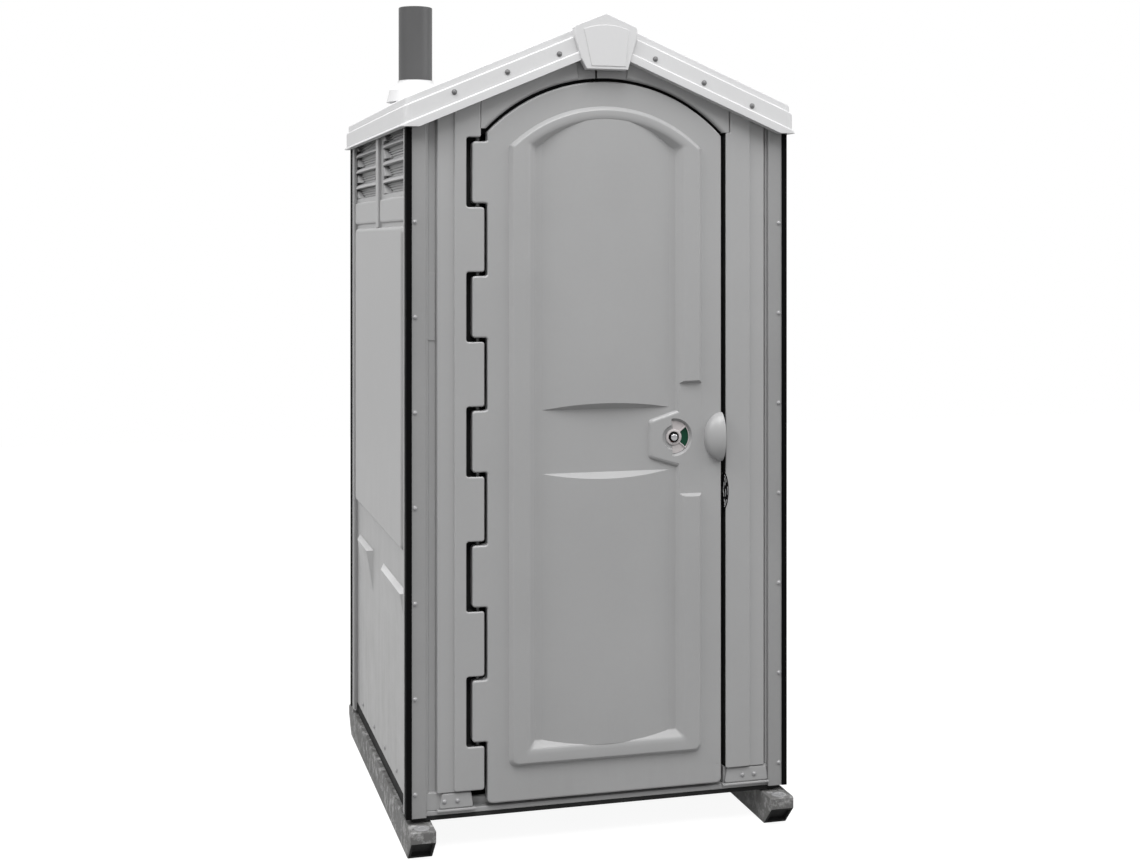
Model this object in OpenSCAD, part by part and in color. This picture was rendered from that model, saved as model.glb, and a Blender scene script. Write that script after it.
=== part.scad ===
// Portable toilet cabin: moulded panels on a floor pan and two runners, gabled roof, vent pipe and hinged door.
// Origin: centre of the footprint at ground level. +X is the cabin's right, +Y its back and +Z up.

/* [Cabin] */
// Width over the corner trims
cabin_w = 1110; // [950:10:1300]
// Depth over the corner trims
cabin_d = 1150; // [950:10:1400]
// Height of the underside of the eaves above the ground
eave_z = 1985; // [1900:5:2250]
// Height where the corner trims begin above the ground
trim_foot = 105; // [96:1:115]
// Thickness of the wall panels
wall_t = 25; // [12:1:40]
// How far the side and back panels sit behind the trims
wall_inset = 15; // [10:1:25]
// Depth of the pressed panels in the walls
panel_relief = 6; // [2:1:9]

/* [Base] */
// Height of the runners
skid_h = 90; // [60:5:95]
// Width of one runner
skid_w = 70; // [50:5:110]
// Sheet thickness of a runner
skid_t = 10; // [5:1:14]
// How far a runner reaches past the cabin, front and back
skid_reach = 57; // [50:1:120]
// Height of the upright face at a runner's nose
skid_nose = 32; // [20:1:50]
// Thickness of the floor pan
floor_t = 40; // [25:1:50]
// Height of the blocks of the sill under the posts
sill_rise = 50; // [46:1:60]

/* [Corners] */
// Width of a corner trim on the front and back
trim_face = 16; // [10:1:30]
// Width of a corner trim on the sides
trim_side = 30; // [15:1:45]
// Sheet thickness of the corner trims
trim_t = 3; // [2:0.5:5]
// Width of the flange behind a trim, on the front and back
corner_face = 57; // [50:1:60]
// Width of the flange behind a trim, on the sides
corner_side = 65; // [45:1:75]

/* [Door] */
// Distance of the door's middle to the right of the cabin's middle
door_shift = 12; // [0:1:15]
// Width of the door leaf
door_w = 683; // [600:1:720]
// Thickness of the door leaf
door_t = 34; // [28:1:38]
// Height of the door's bottom edge above the ground
door_foot = 128; // [126:1:140]
// Height of the top of the door's arch above the ground
door_top = 2122; // [2050:1:2125]
// Radius of the door's arch
arch_r = 470; // [450:5:600]
// Gap between the leaf and the header or the sill
door_gap = 9; // [8:1:12]
// Gap at the free edge of the leaf
edge_gap = 13.5; // [11:0.5:16]
// Height of the frame moulding above the leaf
mould_rise = 12; // [6:1:16]
// Distance of the frame moulding from the leaf's edge
mould_inset = 70; // [55:1:90]
// Width of the frame moulding
mould_w = 49; // [35:1:60]
// Depth of the band between the two crowned panels
band_relief = 8; // [4:1:10]
// Height of the lock's axis above the ground
lock_z = 1119; // [1000:1:1200]
// Height of the band at the lock
band_h = 176; // [150:2:220]

/* [Hinge] */
// Diameter of the hinge rod
rod_d = 12; // [8:1:16]
// Distance of the hinge axis from the leaf
hinge_reach = 25; // [24:1:32]
// Height of a finger on the leaf
finger_h = 170; // [140:1:175]
// Distance from one leaf finger to the next
finger_pitch = 370; // [365:1:380]
// Height of the middle of the top finger above the ground
finger_top = 1864; // [1840:1:1880]
// Number of fingers on the leaf
finger_count = 5; // [3:1:5]
// Radial clearance of the rod in its bores
rod_clear = 0.25; // [0.15:0.05:0.4]

/* [Lock] */
// Diameter of the latch spindle
spindle_d = 14; // [10:1:18]
// Radius of the indicator disc
disc_r = 50; // [45:1:54]
// Thickness of the disc and its cover
disc_t = 3; // [2:0.5:4]
// Length of the latch arm from its axis
arm_l = 165; // [160:1:185]
// Width of the latch arm
arm_w = 26; // [18:1:34]
// Radius of the screw head in front
screw_r = 13.5; // [10:0.5:14]

/* [Pull] */
// Half height of the pull
pull_h = 70; // [60:1:85]
// How far the pull stands out from the leaf
pull_r = 46; // [38:1:50]
// Wall of the pull
pull_t = 4; // [3:0.5:6]

/* [Roof] */
// Height of the roof's peak above the ground, without the ridge cap
roof_peak = 2302; // [2290:1:2420]
// Pitch of the two slopes in degrees
roof_pitch = 23; // [18:0.5:24]
// Thickness of the roof sheet
roof_t = 6; // [4:0.5:9]
// How far the roof overhangs the trims on the sides
roof_side = 18; // [12:1:30]
// How far the roof overhangs the trims, front and back
roof_front = 31; // [24:1:45]
// Upright height of the gable band
fascia_h = 95; // [85:1:110]
// Thickness of the gable band
fascia_t = 12; // [8:1:16]
// Half width of the ridge cap
cap_half = 91; // [70:1:110]
// How far the ridge cap rises above the slopes
cap_rise = 8; // [4:1:12]

/* [Vent] */
// Outside diameter of the vent pipe
pipe_d = 112; // [80:1:125]
// Wall of the vent pipe
pipe_t = 4; // [3:0.5:6]
// Height of the top of the vent pipe above the ground
pipe_top = 2454; // [2420:1:2600]
// Distance of the pipe's axis from the left trims
pipe_left = 200; // [170:1:240]
// Distance of the pipe's axis from the back trims
pipe_back = 135; // [125:1:200]
// Wall of the collar around the pipe
collar_t = 14; // [10:1:20]
// Height of the collar's top above the ground
collar_top = 2210; // [2200:1:2260]

/* [Louvres] */
// Blades in one vent
blade_count = 3; // [2:1:4]
// Distance from one blade to the next
blade_pitch = 52; // [40:1:60]
// Thickness of a blade
blade_t = 4; // [2:0.5:6]
// Half width of the rib between two vents
vent_rib = 33; // [20:1:60]
// Height of the sill of a vent above the ground
vent_foot = 1815; // [1780:5:1840]

/* [Hidden] */
$fn = 96;

// Colours
grey = "#9c9c9c";
roof_grey = "#eeeeee";
black = "#161616";
pipe_grey = "#686868";
runner_grey = "#8a8a8a";
steel = "#b8b8b8";
indicator_green = "#12402e";

// Cabin
half_w = cabin_w / 2;
half_d = cabin_d / 2;
wall_out = half_w - wall_inset;
wall_in = wall_out - wall_t;
back_out = half_d - wall_inset;
back_in = back_out - wall_t;
trim_in = half_w - trim_t;
trim_back = half_d - trim_t;
floor_z = skid_h + floor_t;
far = 3000;

// Depths at the front, as distances behind the trims' front face
front_y = -half_d;
mid_step = 6;
flange_y = front_y + wall_inset;
recess_y = flange_y + 10;
door_back = front_y + door_t;
lip_gap = 6;
lip_t = 8;
lip_y = door_back + lip_gap;
frame_back = lip_y + lip_t;
lip_reach = 14;

// Door and hinge
leaf_left = door_shift - door_w / 2;
leaf_right = door_shift + door_w / 2;
arch_z = door_top - arch_r;
knuckle_r = door_t / 2;
axis_x = leaf_left - hinge_reach;
axis_y = front_y + knuckle_r;
latch_edge = leaf_right + edge_gap;
hinge_gap = 16.5;
hinge_edge = -(axis_x - knuckle_r - hinge_gap);
header_seam = 12;
mould_lift = 28;
header_left = -(axis_x + knuckle_r / 3);
header_right = latch_edge + header_seam;
header_foot = 1985;
header_split = -17;
split_gap = 6;
finger_gap = 11;
post_finger_h = finger_pitch - finger_h - 2 * finger_gap;
post_foot = trim_foot + 13 + sill_rise;
sill_top = trim_foot + 13;
threshold = 22;

// Roof
roof_half = half_w + roof_side;
roof_reach = half_d + roof_front;
rise = tan(roof_pitch);
sheet_z = roof_t / cos(roof_pitch);
slope_z = roof_peak - fascia_h;
lip_band = 26;
upper_band = 18;
face_sink = 5;
key_half = 55;
key_drop = 25;
key_rise = 6;

// Vents
vent_near = vent_rib;
vent_far = half_d - corner_side - 10;
vent_top = vent_foot + blade_count * blade_pitch + 4;
vent_frame = 8;

// Pipe
pipe_x = -half_w + pipe_left;
pipe_y = half_d - pipe_back;
pipe_foot = 1990;
seat_gap = 0.2;
shoulder = 1;

// Lock
lock_x = leaf_right - 142;
moving_gap = 5.2;
cover_y = front_y + 2;
disc_y = cover_y + disc_t + moving_gap;
pocket_y = disc_y + disc_t + moving_gap;
arm_y = frame_back + moving_gap;
arm_t = 10;
pocket_r = disc_r + moving_gap;
window_in = 26;
window_out = 46;
window_angle = 42;
head_y = front_y - 5;
spindle_clear = 0.3;

// Height of the roof sheet's underside at a distance from the middle
function under_sheet(x) = roof_peak - sheet_z - rise * abs(x);

// Everything below the roof sheet, less the seat's own gap
module below_roof() {
    top = under_sheet(0) - seat_gap;
    eave = under_sheet(roof_half) - seat_gap;
    upright(-far, far)
        polygon([[-roof_half, -far], [roof_half, -far], [roof_half, eave], [0, top], [-roof_half, eave]]);
}

// A front-view outline, extruded from y0 to y1
module upright(y0, y1) {
    translate([0, y1, 0])
        rotate([90, 0, 0])
            linear_extrude(y1 - y0)
                children();
}

// A box between two corners
module block(a, b) {
    translate(a)
        cube(b - a);
}

module runner(side) {
    nose = half_d + skid_reach;
    outer = half_w - 3;
    color(runner_grey)
        mirror([side < 0 ? 1 : 0, 0, 0])
            difference() {
                translate([outer - skid_w, 0, 0])
                    rotate([90, 0, 90])
                        linear_extrude(skid_w)
                            polygon([[-nose, skid_h], [-nose, skid_h - skid_nose], [-half_d, 0], [half_d, 0],
                                     [nose, skid_h - skid_nose], [nose, skid_h]]);
                block([outer - skid_w + skid_t, -nose + skid_t, -1], [outer - skid_t, nose - skid_t, skid_h - skid_t]);
            }
}

module base_floor() {
    color(runner_grey)
        block([-wall_out + 3, lip_y + threshold_d(), skid_h], [wall_out - 3, back_out - 3, floor_z]);
}

// Depth of the threshold behind the leaf
function threshold_d() = 15;

module front_sill() {
    sill_back = lip_y + threshold_d();
    color(grey) {
        block([-wall_out + 3, flange_y, trim_foot - 1], [wall_out - 3, sill_back, sill_top]);
        block([-wall_in, flange_y, sill_top], [-hinge_edge, sill_back, post_foot]);
        block([latch_edge, flange_y, sill_top], [wall_in, sill_back, post_foot]);
        block([-hinge_edge, lip_y, sill_top], [latch_edge, sill_back, sill_top + threshold]);
    }
}

// A side panel on the right, with its two vents cut through
module side_panel() {
    panel_half = half_d - 95;
    intersection() {
        difference() {
            block([wall_in, flange_y, floor_z], [wall_out, back_in, far]);
            for (side = [-1, 1])
                block([wall_in - 1, side > 0 ? vent_near : -vent_far, vent_foot],
                      [wall_out + 1, side > 0 ? vent_far : -vent_near, vent_top]);
            block([wall_out - panel_relief, -panel_half, floor_z - 1], [wall_out + 1, panel_half, vent_foot - 105]);
        }
        below_roof();
    }
}

module left_wall() {
    color(grey)
        mirror([1, 0, 0])
            side_panel();
}

module right_wall() {
    color(grey)
        side_panel();
}

module back_wall() {
    panel_half = half_w - 95;
    color(grey)
        intersection() {
            difference() {
                block([-wall_out, back_in, floor_z], [wall_out, back_out, far]);
                for (side = [-1, 1])
                    block([side > 0 ? vent_rib : -panel_half, back_out - panel_relief, floor_z - 1],
                          [side > 0 ? panel_half : -vent_rib, back_out + 1, vent_foot - 105]);
            }
            below_roof();
        }
}

// One vent on the right: a frame and sloping blades, between y0 and y1
module louvre(y0, y1) {
    color(grey)
        translate([0, y1, 0])
            rotate([90, 0, 0])
                union() {
                    for (end = [0, y1 - y0 - vent_frame])
                        translate([0, 0, end])
                            linear_extrude(vent_frame)
                                polygon([[wall_in, vent_foot], [wall_out, vent_foot],
                                         [wall_out, vent_top], [wall_in, vent_top]]);
                    for (i = [0:blade_count - 1])
                        translate([0, vent_foot + i * blade_pitch, 0])
                            linear_extrude(y1 - y0)
                                polygon([[wall_out, 0], [wall_out, 2 * blade_t], [wall_in, 2 * blade_t + wall_t],
                                         [wall_in, blade_t / 2 + wall_t]]);
                }
}

// The grey angle behind a trim, for the front right corner
module corner_angle() {
    intersection() {
        union() {
            block([trim_in - corner_face + trim_t, -trim_back, trim_foot], [trim_in, flange_y, far]);
            block([wall_out, -trim_back, trim_foot], [trim_in, -trim_back + corner_side, far]);
        }
        below_roof();
    }
}

// The black angle on the front right corner
module trim_angle() {
    intersection() {
        union() {
            block([half_w - trim_face, front_y, trim_foot], [half_w, -trim_back, far]);
            block([trim_in, front_y, trim_foot], [half_w, front_y + trim_side, far]);
        }
        below_roof();
    }
}

// Puts a front right piece on any corner
module on_corner(side, end) {
    mirror([side < 0 ? 1 : 0, 0, 0])
        mirror([0, end > 0 ? 1 : 0, 0])
            children();
}

// Plan of a front post on the right: outer flange, recess, mid band, face and the lip behind the leaf
module post_plan(edge, step, outer) {
    polygon([[edge, front_y], [step, front_y], [step + 2, front_y + mid_step], [outer, front_y + mid_step],
             [outer + 3, recess_y], [trim_in - corner_face + trim_t, recess_y],
             [trim_in - corner_face + trim_t, flange_y], [wall_in, flange_y], [wall_in, frame_back],
             [edge - lip_reach - edge_gap, frame_back], [edge - lip_reach - edge_gap, lip_y], [edge, lip_y]]);
}

module hinge_post() {
    lip_end = axis_x + hinge_reach + lip_reach;
    top_finger = finger_top + finger_h / 2 + finger_gap;
    color(grey)
        intersection() {
            difference() {
                union() {
                    translate([0, 0, post_foot])
                        linear_extrude(far)
                            mirror([1, 0])
                                post_plan(hinge_edge, hinge_edge + 35, -axis_x + 113.5);
                    block([-hinge_edge, lip_y, post_foot], [lip_end, frame_back, header_foot]);
                    for (i = [0:finger_count - 1])
                        post_finger(max(post_foot, finger_top - (i + 0.5) * finger_pitch - post_finger_h / 2),
                                    finger_top - (i + 0.5) * finger_pitch + post_finger_h / 2);
                    block([-hinge_edge - 1, front_y, top_finger], [-header_left, lip_y, far]);
                }
                translate([axis_x, axis_y, post_foot - 1])
                    cylinder(r = rod_d / 2 + rod_clear, h = rod_top() - post_foot + 1.5);
            }
            below_roof();
        }
}

// Height of the rod's upper end
function rod_top() = finger_top + finger_h / 2 + finger_gap + 20;

// A post finger between two heights, rounded about the hinge axis
module post_finger(z0, z1) {
    block([-hinge_edge - 1, front_y, z0], [axis_x, door_back, z1]);
    translate([axis_x, axis_y, z0])
        cylinder(r = knuckle_r, h = z1 - z0);
}

module latch_post() {
    color(grey)
        intersection() {
            difference() {
                translate([0, 0, post_foot])
                    linear_extrude(far)
                        post_plan(latch_edge, latch_edge + 73, latch_edge + 116);
                block([0, front_y - 1, header_foot], [header_right, frame_back + 1, far]);
            }
            below_roof();
        }
}

// The header between two sides of the cabin, arched over the leaf
module header(x0, x1) {
    color(grey)
        intersection() {
            difference() {
                block([x0, front_y, header_foot], [x1, frame_back, far]);
                upright(front_y - 1, lip_y)
                    arch_outline(arch_r + door_gap, leaf_left - hinge_reach, latch_edge);
                upright(lip_y - 1, frame_back + 1)
                    arch_outline(arch_r - lip_reach, leaf_left + lip_reach, leaf_right - lip_reach);
                block([x0 - 1, front_y - 1, header_foot - 1], [-header_left, lip_y, header_foot + 1]);
            }
            below_roof();
        }
}

// A door-shaped outline with its arch about the leaf's own centre
module arch_outline(r, x0, x1) {
    intersection() {
        translate([door_shift, arch_z])
            circle(r = r, $fn = 180);
        translate([x0, arch_z])
            square([x1 - x0, r + 1]);
    }
    translate([x0, 0])
        square([x1 - x0, arch_z + 1]);
}

// Gable band outline, from the eaves to the ridge
module gable_outline() {
    flat_x = (slope_z - eave_z) / rise;
    polygon([[-roof_half, eave_z], [-flat_x, eave_z], [-key_half - 15, slope_z - rise * (key_half + 15)],
             [-key_half, slope_z - rise * (key_half + 15) - key_drop],
             [key_half, slope_z - rise * (key_half + 15) - key_drop],
             [key_half + 15, slope_z - rise * (key_half + 15)], [flat_x, eave_z], [roof_half, eave_z],
             [roof_half, roof_peak - rise * roof_half], [0, roof_peak], [-roof_half, roof_peak - rise * roof_half]]);
}

// The sunk face of one half of the gable band, on the right
module gable_face() {
    end = roof_half - 8;
    polygon([[cap_half, slope_z + lip_band - rise * cap_half], [end, slope_z + lip_band - rise * end],
             [end, roof_peak - upper_band - rise * end], [cap_half, roof_peak - upper_band - rise * cap_half]]);
}

// The keystone at the end of the ridge cap, seen from the front
module keystone_outline(grow) {
    key_z = slope_z - rise * (key_half + 15) - key_drop;
    polygon([[-key_half + grow, key_z + 1], [key_half - grow, key_z + 1],
             [cap_half - grow, roof_peak + cap_rise - rise * cap_half - 28],
             [cap_half - grow, roof_peak + cap_rise - grow - rise * (cap_half - grow)],
             [0, roof_peak + cap_rise - 2 * grow],
             [-cap_half + grow, roof_peak + cap_rise - grow - rise * (cap_half - grow)],
             [-cap_half + grow, roof_peak + cap_rise - rise * cap_half - 28]]);
}

// One end of the roof: gable band with sunk faces and the keystone, at the front
module gable_end() {
    difference() {
        upright(-roof_reach, -roof_reach + fascia_t)
            gable_outline();
        for (side = [0, 1])
            mirror([side, 0, 0])
                upright(-roof_reach - 1, -roof_reach + face_sink)
                    gable_face();
    }
    upright(-roof_reach, -roof_reach + fascia_t)
        keystone_outline(0);
    upright(-roof_reach - key_rise, -roof_reach + 1)
        keystone_outline(9);
}

module roof() {
    color(roof_grey)
        difference() {
            union() {
                upright(-roof_reach, roof_reach)
                    polygon([[-roof_half, eave_z], [-roof_half + roof_t, eave_z],
                             [-roof_half + roof_t, under_sheet(roof_half - roof_t)], [0, under_sheet(0)],
                             [roof_half - roof_t, under_sheet(roof_half - roof_t)], [roof_half - roof_t, eave_z],
                             [roof_half, eave_z], [roof_half, roof_peak - rise * roof_half], [0, roof_peak],
                             [-roof_half, roof_peak - rise * roof_half]]);
                upright(-roof_reach + 1, roof_reach - 1)
                    polygon([[-cap_half, roof_peak - rise * cap_half - 1],
                             [-cap_half, roof_peak + cap_rise - rise * cap_half], [0, roof_peak + cap_rise],
                             [cap_half, roof_peak + cap_rise - rise * cap_half],
                             [cap_half, roof_peak - rise * cap_half - 1], [0, roof_peak - 1]]);
                gable_end();
                mirror([0, 1, 0])
                    gable_end();
            }
            translate([pipe_x, pipe_y, 0])
                cylinder(r = pipe_d / 2 + collar_t, h = far);
        }
}

// The part of the roof that carries the pipe: a flat-topped collar that fills the hole in the sheet
module pipe_collar() {
    color(roof_grey)
        difference() {
            translate([pipe_x, pipe_y, 0])
                intersection() {
                    cylinder(r = pipe_d / 2 + collar_t - 0.1, h = collar_top);
                    translate([-pipe_x, -pipe_y, 0])
                        above_sheet();
                }
            translate([pipe_x, pipe_y, 0])
                cylinder(r = pipe_d / 2 - shoulder + seat_gap, h = far);
        }
}

// Everything above the roof sheet's underside
module above_sheet() {
    upright(-far, far)
        polygon([[-roof_half, under_sheet(roof_half)], [0, under_sheet(0)], [roof_half, under_sheet(roof_half)],
                 [roof_half, far], [-roof_half, far]]);
}

// The pipe is a little thicker above its collar, and stands on it
module vent_pipe() {
    color(pipe_grey)
        translate([pipe_x, pipe_y, 0])
            rotate_extrude()
                polygon([[pipe_d / 2 - pipe_t - shoulder, pipe_foot], [pipe_d / 2 - shoulder, pipe_foot],
                         [pipe_d / 2 - shoulder, collar_top], [pipe_d / 2, collar_top], [pipe_d / 2, pipe_top],
                         [pipe_d / 2 - pipe_t - shoulder, pipe_top]]);
}

module hinge_rod() {
    color(steel)
        translate([axis_x, axis_y, post_foot + 2])
            cylinder(r = rod_d / 2, h = rod_top() - post_foot - 2);
}

// The moulding's outline at a distance inside the leaf's edge
module mould_outline(inset) {
    difference() {
        arch_outline(arch_r - inset, leaf_left + inset, leaf_right - inset);
        translate([-far, -1])
            square([2 * far, door_foot + inset + mould_lift + 1]);
    }
}

module door() {
    inner = mould_inset + mould_w;
    inner_half = door_w / 2 - inner;
    crown = mould_rise + band_relief - 2;
    crown_r = (inner_half * inner_half + crown * crown) / (2 * crown);
    color(grey)
        difference() {
            union() {
                difference() {
                    union() {
                        upright(front_y, door_back)
                            difference() {
                                arch_outline(arch_r, leaf_left, leaf_right);
                                translate([-far, -1])
                                    square([2 * far, door_foot + 1]);
                            }
                        upright(front_y - mould_rise, front_y + 1)
                            mould_outline(mould_inset);
                    }
                    upright(front_y - mould_rise - 1, front_y + band_relief)
                        mould_outline(inner);
                }
                intersection() {
                    upright(front_y - mould_rise, front_y + band_relief + 1)
                        difference() {
                            mould_outline(inner);
                            translate([-far, lock_z - band_h / 2])
                                square([2 * far, band_h]);
                        }
                    translate([door_shift, front_y + band_relief - crown + crown_r, 0])
                        cylinder(r = crown_r, h = far, $fn = 360);
                }
                upright(front_y, front_y + band_relief + 1)
                    translate([lock_x, lock_z])
                        circle(r = pocket_r + 14);
                for (i = [0:finger_count - 1])
                    leaf_finger(finger_top - i * finger_pitch);
            }
            upright(front_y - mould_rise - 1, pocket_y)
                translate([lock_x, lock_z])
                    circle(r = pocket_r);
            upright(front_y - 1, door_back + 1)
                translate([lock_x, lock_z])
                    circle(r = spindle_d / 2 + spindle_clear);
            translate([axis_x, axis_y, 0])
                cylinder(r = rod_d / 2 + rod_clear, h = far);
        }
}

// A leaf finger about a height, rounded about the hinge axis
module leaf_finger(z) {
    block([axis_x, front_y, z - finger_h / 2], [leaf_left + 1, door_back, z + finger_h / 2]);
    translate([axis_x, axis_y, z - finger_h / 2])
        cylinder(r = knuckle_r, h = finger_h);
}

// A half cup open towards the free edge
module door_pull() {
    color(grey)
        intersection() {
            translate([leaf_right, front_y, lock_z])
                rotate_extrude()
                    difference() {
                        oval(pull_r, pull_h);
                        oval(pull_r - pull_t, pull_h - pull_t);
                    }
            block([leaf_right - 2 * pull_r, front_y - 2 * pull_r, 0], [leaf_right, front_y, far]);
        }
}

// Right half of an oval with half axes a and b
module oval(a, b) {
    steps = 12;
    polygon([for (i = [0:steps]) [a * cos(90 - 180 * i / steps), b * sin(90 - 180 * i / steps)]]);
}

// The fixed plate in front of the disc, with its window and the hole for the screw head
module lock_cover() {
    color(grey)
        upright(cover_y, cover_y + disc_t)
            translate([lock_x, lock_z])
                difference() {
                    circle(r = pocket_r - seat_gap / 2);
                    circle(r = screw_r + moving_gap);
                    intersection() {
                        difference() {
                            circle(r = window_out);
                            circle(r = window_in);
                        }
                        polygon([[0, 0], [far * cos(window_angle), -far * sin(window_angle)],
                                 [far * cos(window_angle), far * sin(window_angle)]]);
                    }
                }
}

module indicator_disc() {
    color(indicator_green)
        upright(disc_y, disc_y + disc_t)
            translate([lock_x, lock_z])
                difference() {
                    circle(r = disc_r);
                    circle(r = spindle_d / 2 + seat_gap / 2);
                }
}

// Spindle through the leaf with the arm behind it, hanging down when the door is free
module latch_lever() {
    color(black) {
        upright(head_y + 4, arm_y + arm_t)
            translate([lock_x, lock_z])
                circle(r = spindle_d / 2);
        upright(arm_y, arm_y + arm_t)
            translate([lock_x, lock_z]) {
                circle(r = arm_w / 2);
                translate([-arm_w / 2, -arm_l + arm_w / 2])
                    square([arm_w, arm_l - arm_w / 2]);
                translate([0, -arm_l + arm_w / 2])
                    circle(r = arm_w / 2);
            }
    }
}

module lock_screw() {
    color(steel)
        upright(head_y, head_y + 4)
            translate([lock_x, lock_z])
                circle(r = screw_r);
}

module latch_keeper() {
    keeper_z = lock_z - 158;
    color(black)
        block([latch_edge - 7, front_y + 3, keeper_z - 50], [latch_edge, front_y + 28, keeper_z + 50]);
}

runner(-1);  // left_skid
runner(1);  // right_skid
base_floor();
front_sill();
left_wall();
right_wall();
back_wall();
mirror([1, 0, 0]) louvre(-vent_far, -vent_near);  // left_front_louvre
mirror([1, 0, 0]) louvre(vent_near, vent_far);  // left_rear_louvre
louvre(-vent_far, -vent_near);  // right_front_louvre
louvre(vent_near, vent_far);  // right_rear_louvre
color(grey) on_corner(-1, -1) corner_angle();  // front_left_corner
color(grey) on_corner(1, -1) corner_angle();  // front_right_corner
color(grey) on_corner(-1, 1) corner_angle();  // back_left_corner
color(grey) on_corner(1, 1) corner_angle();  // back_right_corner
color(black) on_corner(-1, -1) trim_angle();  // front_left_trim
color(black) on_corner(1, -1) trim_angle();  // front_right_trim
color(black) on_corner(-1, 1) trim_angle();  // back_left_trim
color(black) on_corner(1, 1) trim_angle();  // back_right_trim
hinge_post();
latch_post();
header(-header_left, header_split - split_gap / 2);  // left_header
header(header_split + split_gap / 2, header_right);  // right_header
roof();
vent_pipe();
pipe_collar();
hinge_rod();
door();
door_pull();
lock_cover();
indicator_disc();
latch_lever();
lock_screw();
latch_keeper();
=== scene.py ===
"""Portable toilet cabin: moulded walls, gabled roof, hinged door with lock, and two runners."""

import math

import bmesh
import bpy
from mathutils import Matrix, Vector


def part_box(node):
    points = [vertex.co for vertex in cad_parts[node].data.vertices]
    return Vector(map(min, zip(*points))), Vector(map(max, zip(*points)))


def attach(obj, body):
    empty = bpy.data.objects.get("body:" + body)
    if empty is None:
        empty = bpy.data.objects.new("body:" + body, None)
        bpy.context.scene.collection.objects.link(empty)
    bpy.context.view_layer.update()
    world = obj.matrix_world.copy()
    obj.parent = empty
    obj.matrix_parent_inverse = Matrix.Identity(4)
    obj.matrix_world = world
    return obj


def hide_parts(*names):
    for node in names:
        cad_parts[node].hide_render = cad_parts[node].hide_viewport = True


bl_info = {
    "name": "Portable toilet cabin",
    "version": (1, 0, 0),
    "blender": (4, 5, 0),
    "location": "View3D > Sidebar > Cabin",
    "description": "Builds the moulded pieces of a portable toilet cabin around its packed frame",
    "category": "Add Mesh",
}

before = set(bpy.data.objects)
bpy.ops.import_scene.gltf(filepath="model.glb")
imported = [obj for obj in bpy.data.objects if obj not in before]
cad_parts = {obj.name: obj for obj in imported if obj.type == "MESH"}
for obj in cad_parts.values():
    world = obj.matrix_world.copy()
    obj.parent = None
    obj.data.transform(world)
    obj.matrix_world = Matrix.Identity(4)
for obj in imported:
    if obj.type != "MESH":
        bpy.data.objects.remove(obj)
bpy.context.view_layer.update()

# Places that the frame fixes, in metres
TRIM_LO, TRIM_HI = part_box("front_right_trim")
FLANGE_LO, FLANGE_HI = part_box("front_right_corner")
HALF_W = TRIM_HI.x
FRONT = TRIM_LO.y
HALF_D = -FRONT
WALL_IN, WALL_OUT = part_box("right_wall")[0].x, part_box("right_wall")[1].x
BACK_IN, BACK_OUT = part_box("back_wall")[0].y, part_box("back_wall")[1].y
WALL_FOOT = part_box("right_wall")[0].z
VENT_LO, VENT_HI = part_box("right_rear_louvre")
LEAF_LO, LEAF_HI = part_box("door")
LEAF_BACK = LEAF_HI.y
AXIS = (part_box("hinge_rod")[0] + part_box("hinge_rod")[1]) / 2
KNUCKLE = AXIS.x - LEAF_LO.x
LOCK = (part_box("lock_screw")[0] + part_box("lock_screw")[1]) / 2
POST_LO, POST_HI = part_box("latch_post")
POST_FOOT = POST_LO.z
HEADER_LEFT, HEADER_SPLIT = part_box("left_header")[0].x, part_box("left_header")[1].x
SPLIT_RIGHT, HEADER_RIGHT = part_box("right_header")[0].x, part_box("right_header")[1].x
HEADER_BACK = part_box("left_header")[1].y
HEADER_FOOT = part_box("left_header")[0].z
KEEPER_LO, KEEPER_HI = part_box("latch_keeper")
ROOF_LO, ROOF_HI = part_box("roof")
PIPE_LO, PIPE_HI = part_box("vent_pipe")
PIPE = (PIPE_LO + PIPE_HI) / 2
PIPE_R = (PIPE_HI.x - PIPE_LO.x) / 2
COLLAR_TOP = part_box("pipe_collar")[1].z
SKID_LO, SKID_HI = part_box("right_skid")
SILL_LO, SILL_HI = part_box("front_sill")
DISC_LO, DISC_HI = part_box("indicator_disc")
ARM_LO, ARM_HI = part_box("latch_lever")

# Places of the roof's rivets across the front, and their drops below the slope
ROOF_RIVETS = (
    (-0.427, 0.041),
    (-0.279, 0.0455),
    (-0.132, 0.054),
    (0.147, 0.0535),
    (0.292, 0.055),
    (0.437, 0.0555),
)
# Edge of the hinge post beside its fingers
HINGE_EDGE = -0.388
# Rivets of a corner, from the top down
RIVET_TOP, RIVET_STEP, RIVET_COUNT = 1.727, 0.2595, 7
# Places of the screws across the sill and along a wall's foot
SILL_SCREWS = (-0.448, -0.412, 0.420, 0.456)
FOOT_SCREWS = (0.368, 0.118, -0.101, -0.321)
# Distances along a side wall that the two vents span
VENT_SPANS = {"front": (-0.542, -0.071), "rear": (-0.010, 0.523)}
# Parts that a vent blade is cut into along its length, so that its lip can bulge
BLADE_CUTS = 12
# Drop of the pressed ledges below the vents
LEDGE_DROP = 1.110

# Directions out of the front and up
OUT, UP = (0, -1, 0), (0, 0, 1)
# Distances that count as none when edges are picked
TINY = 1e-5
NEAR = 1e-4
# Edges that turn by more than this stay sharp
SHARP = math.radians(40)


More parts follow.
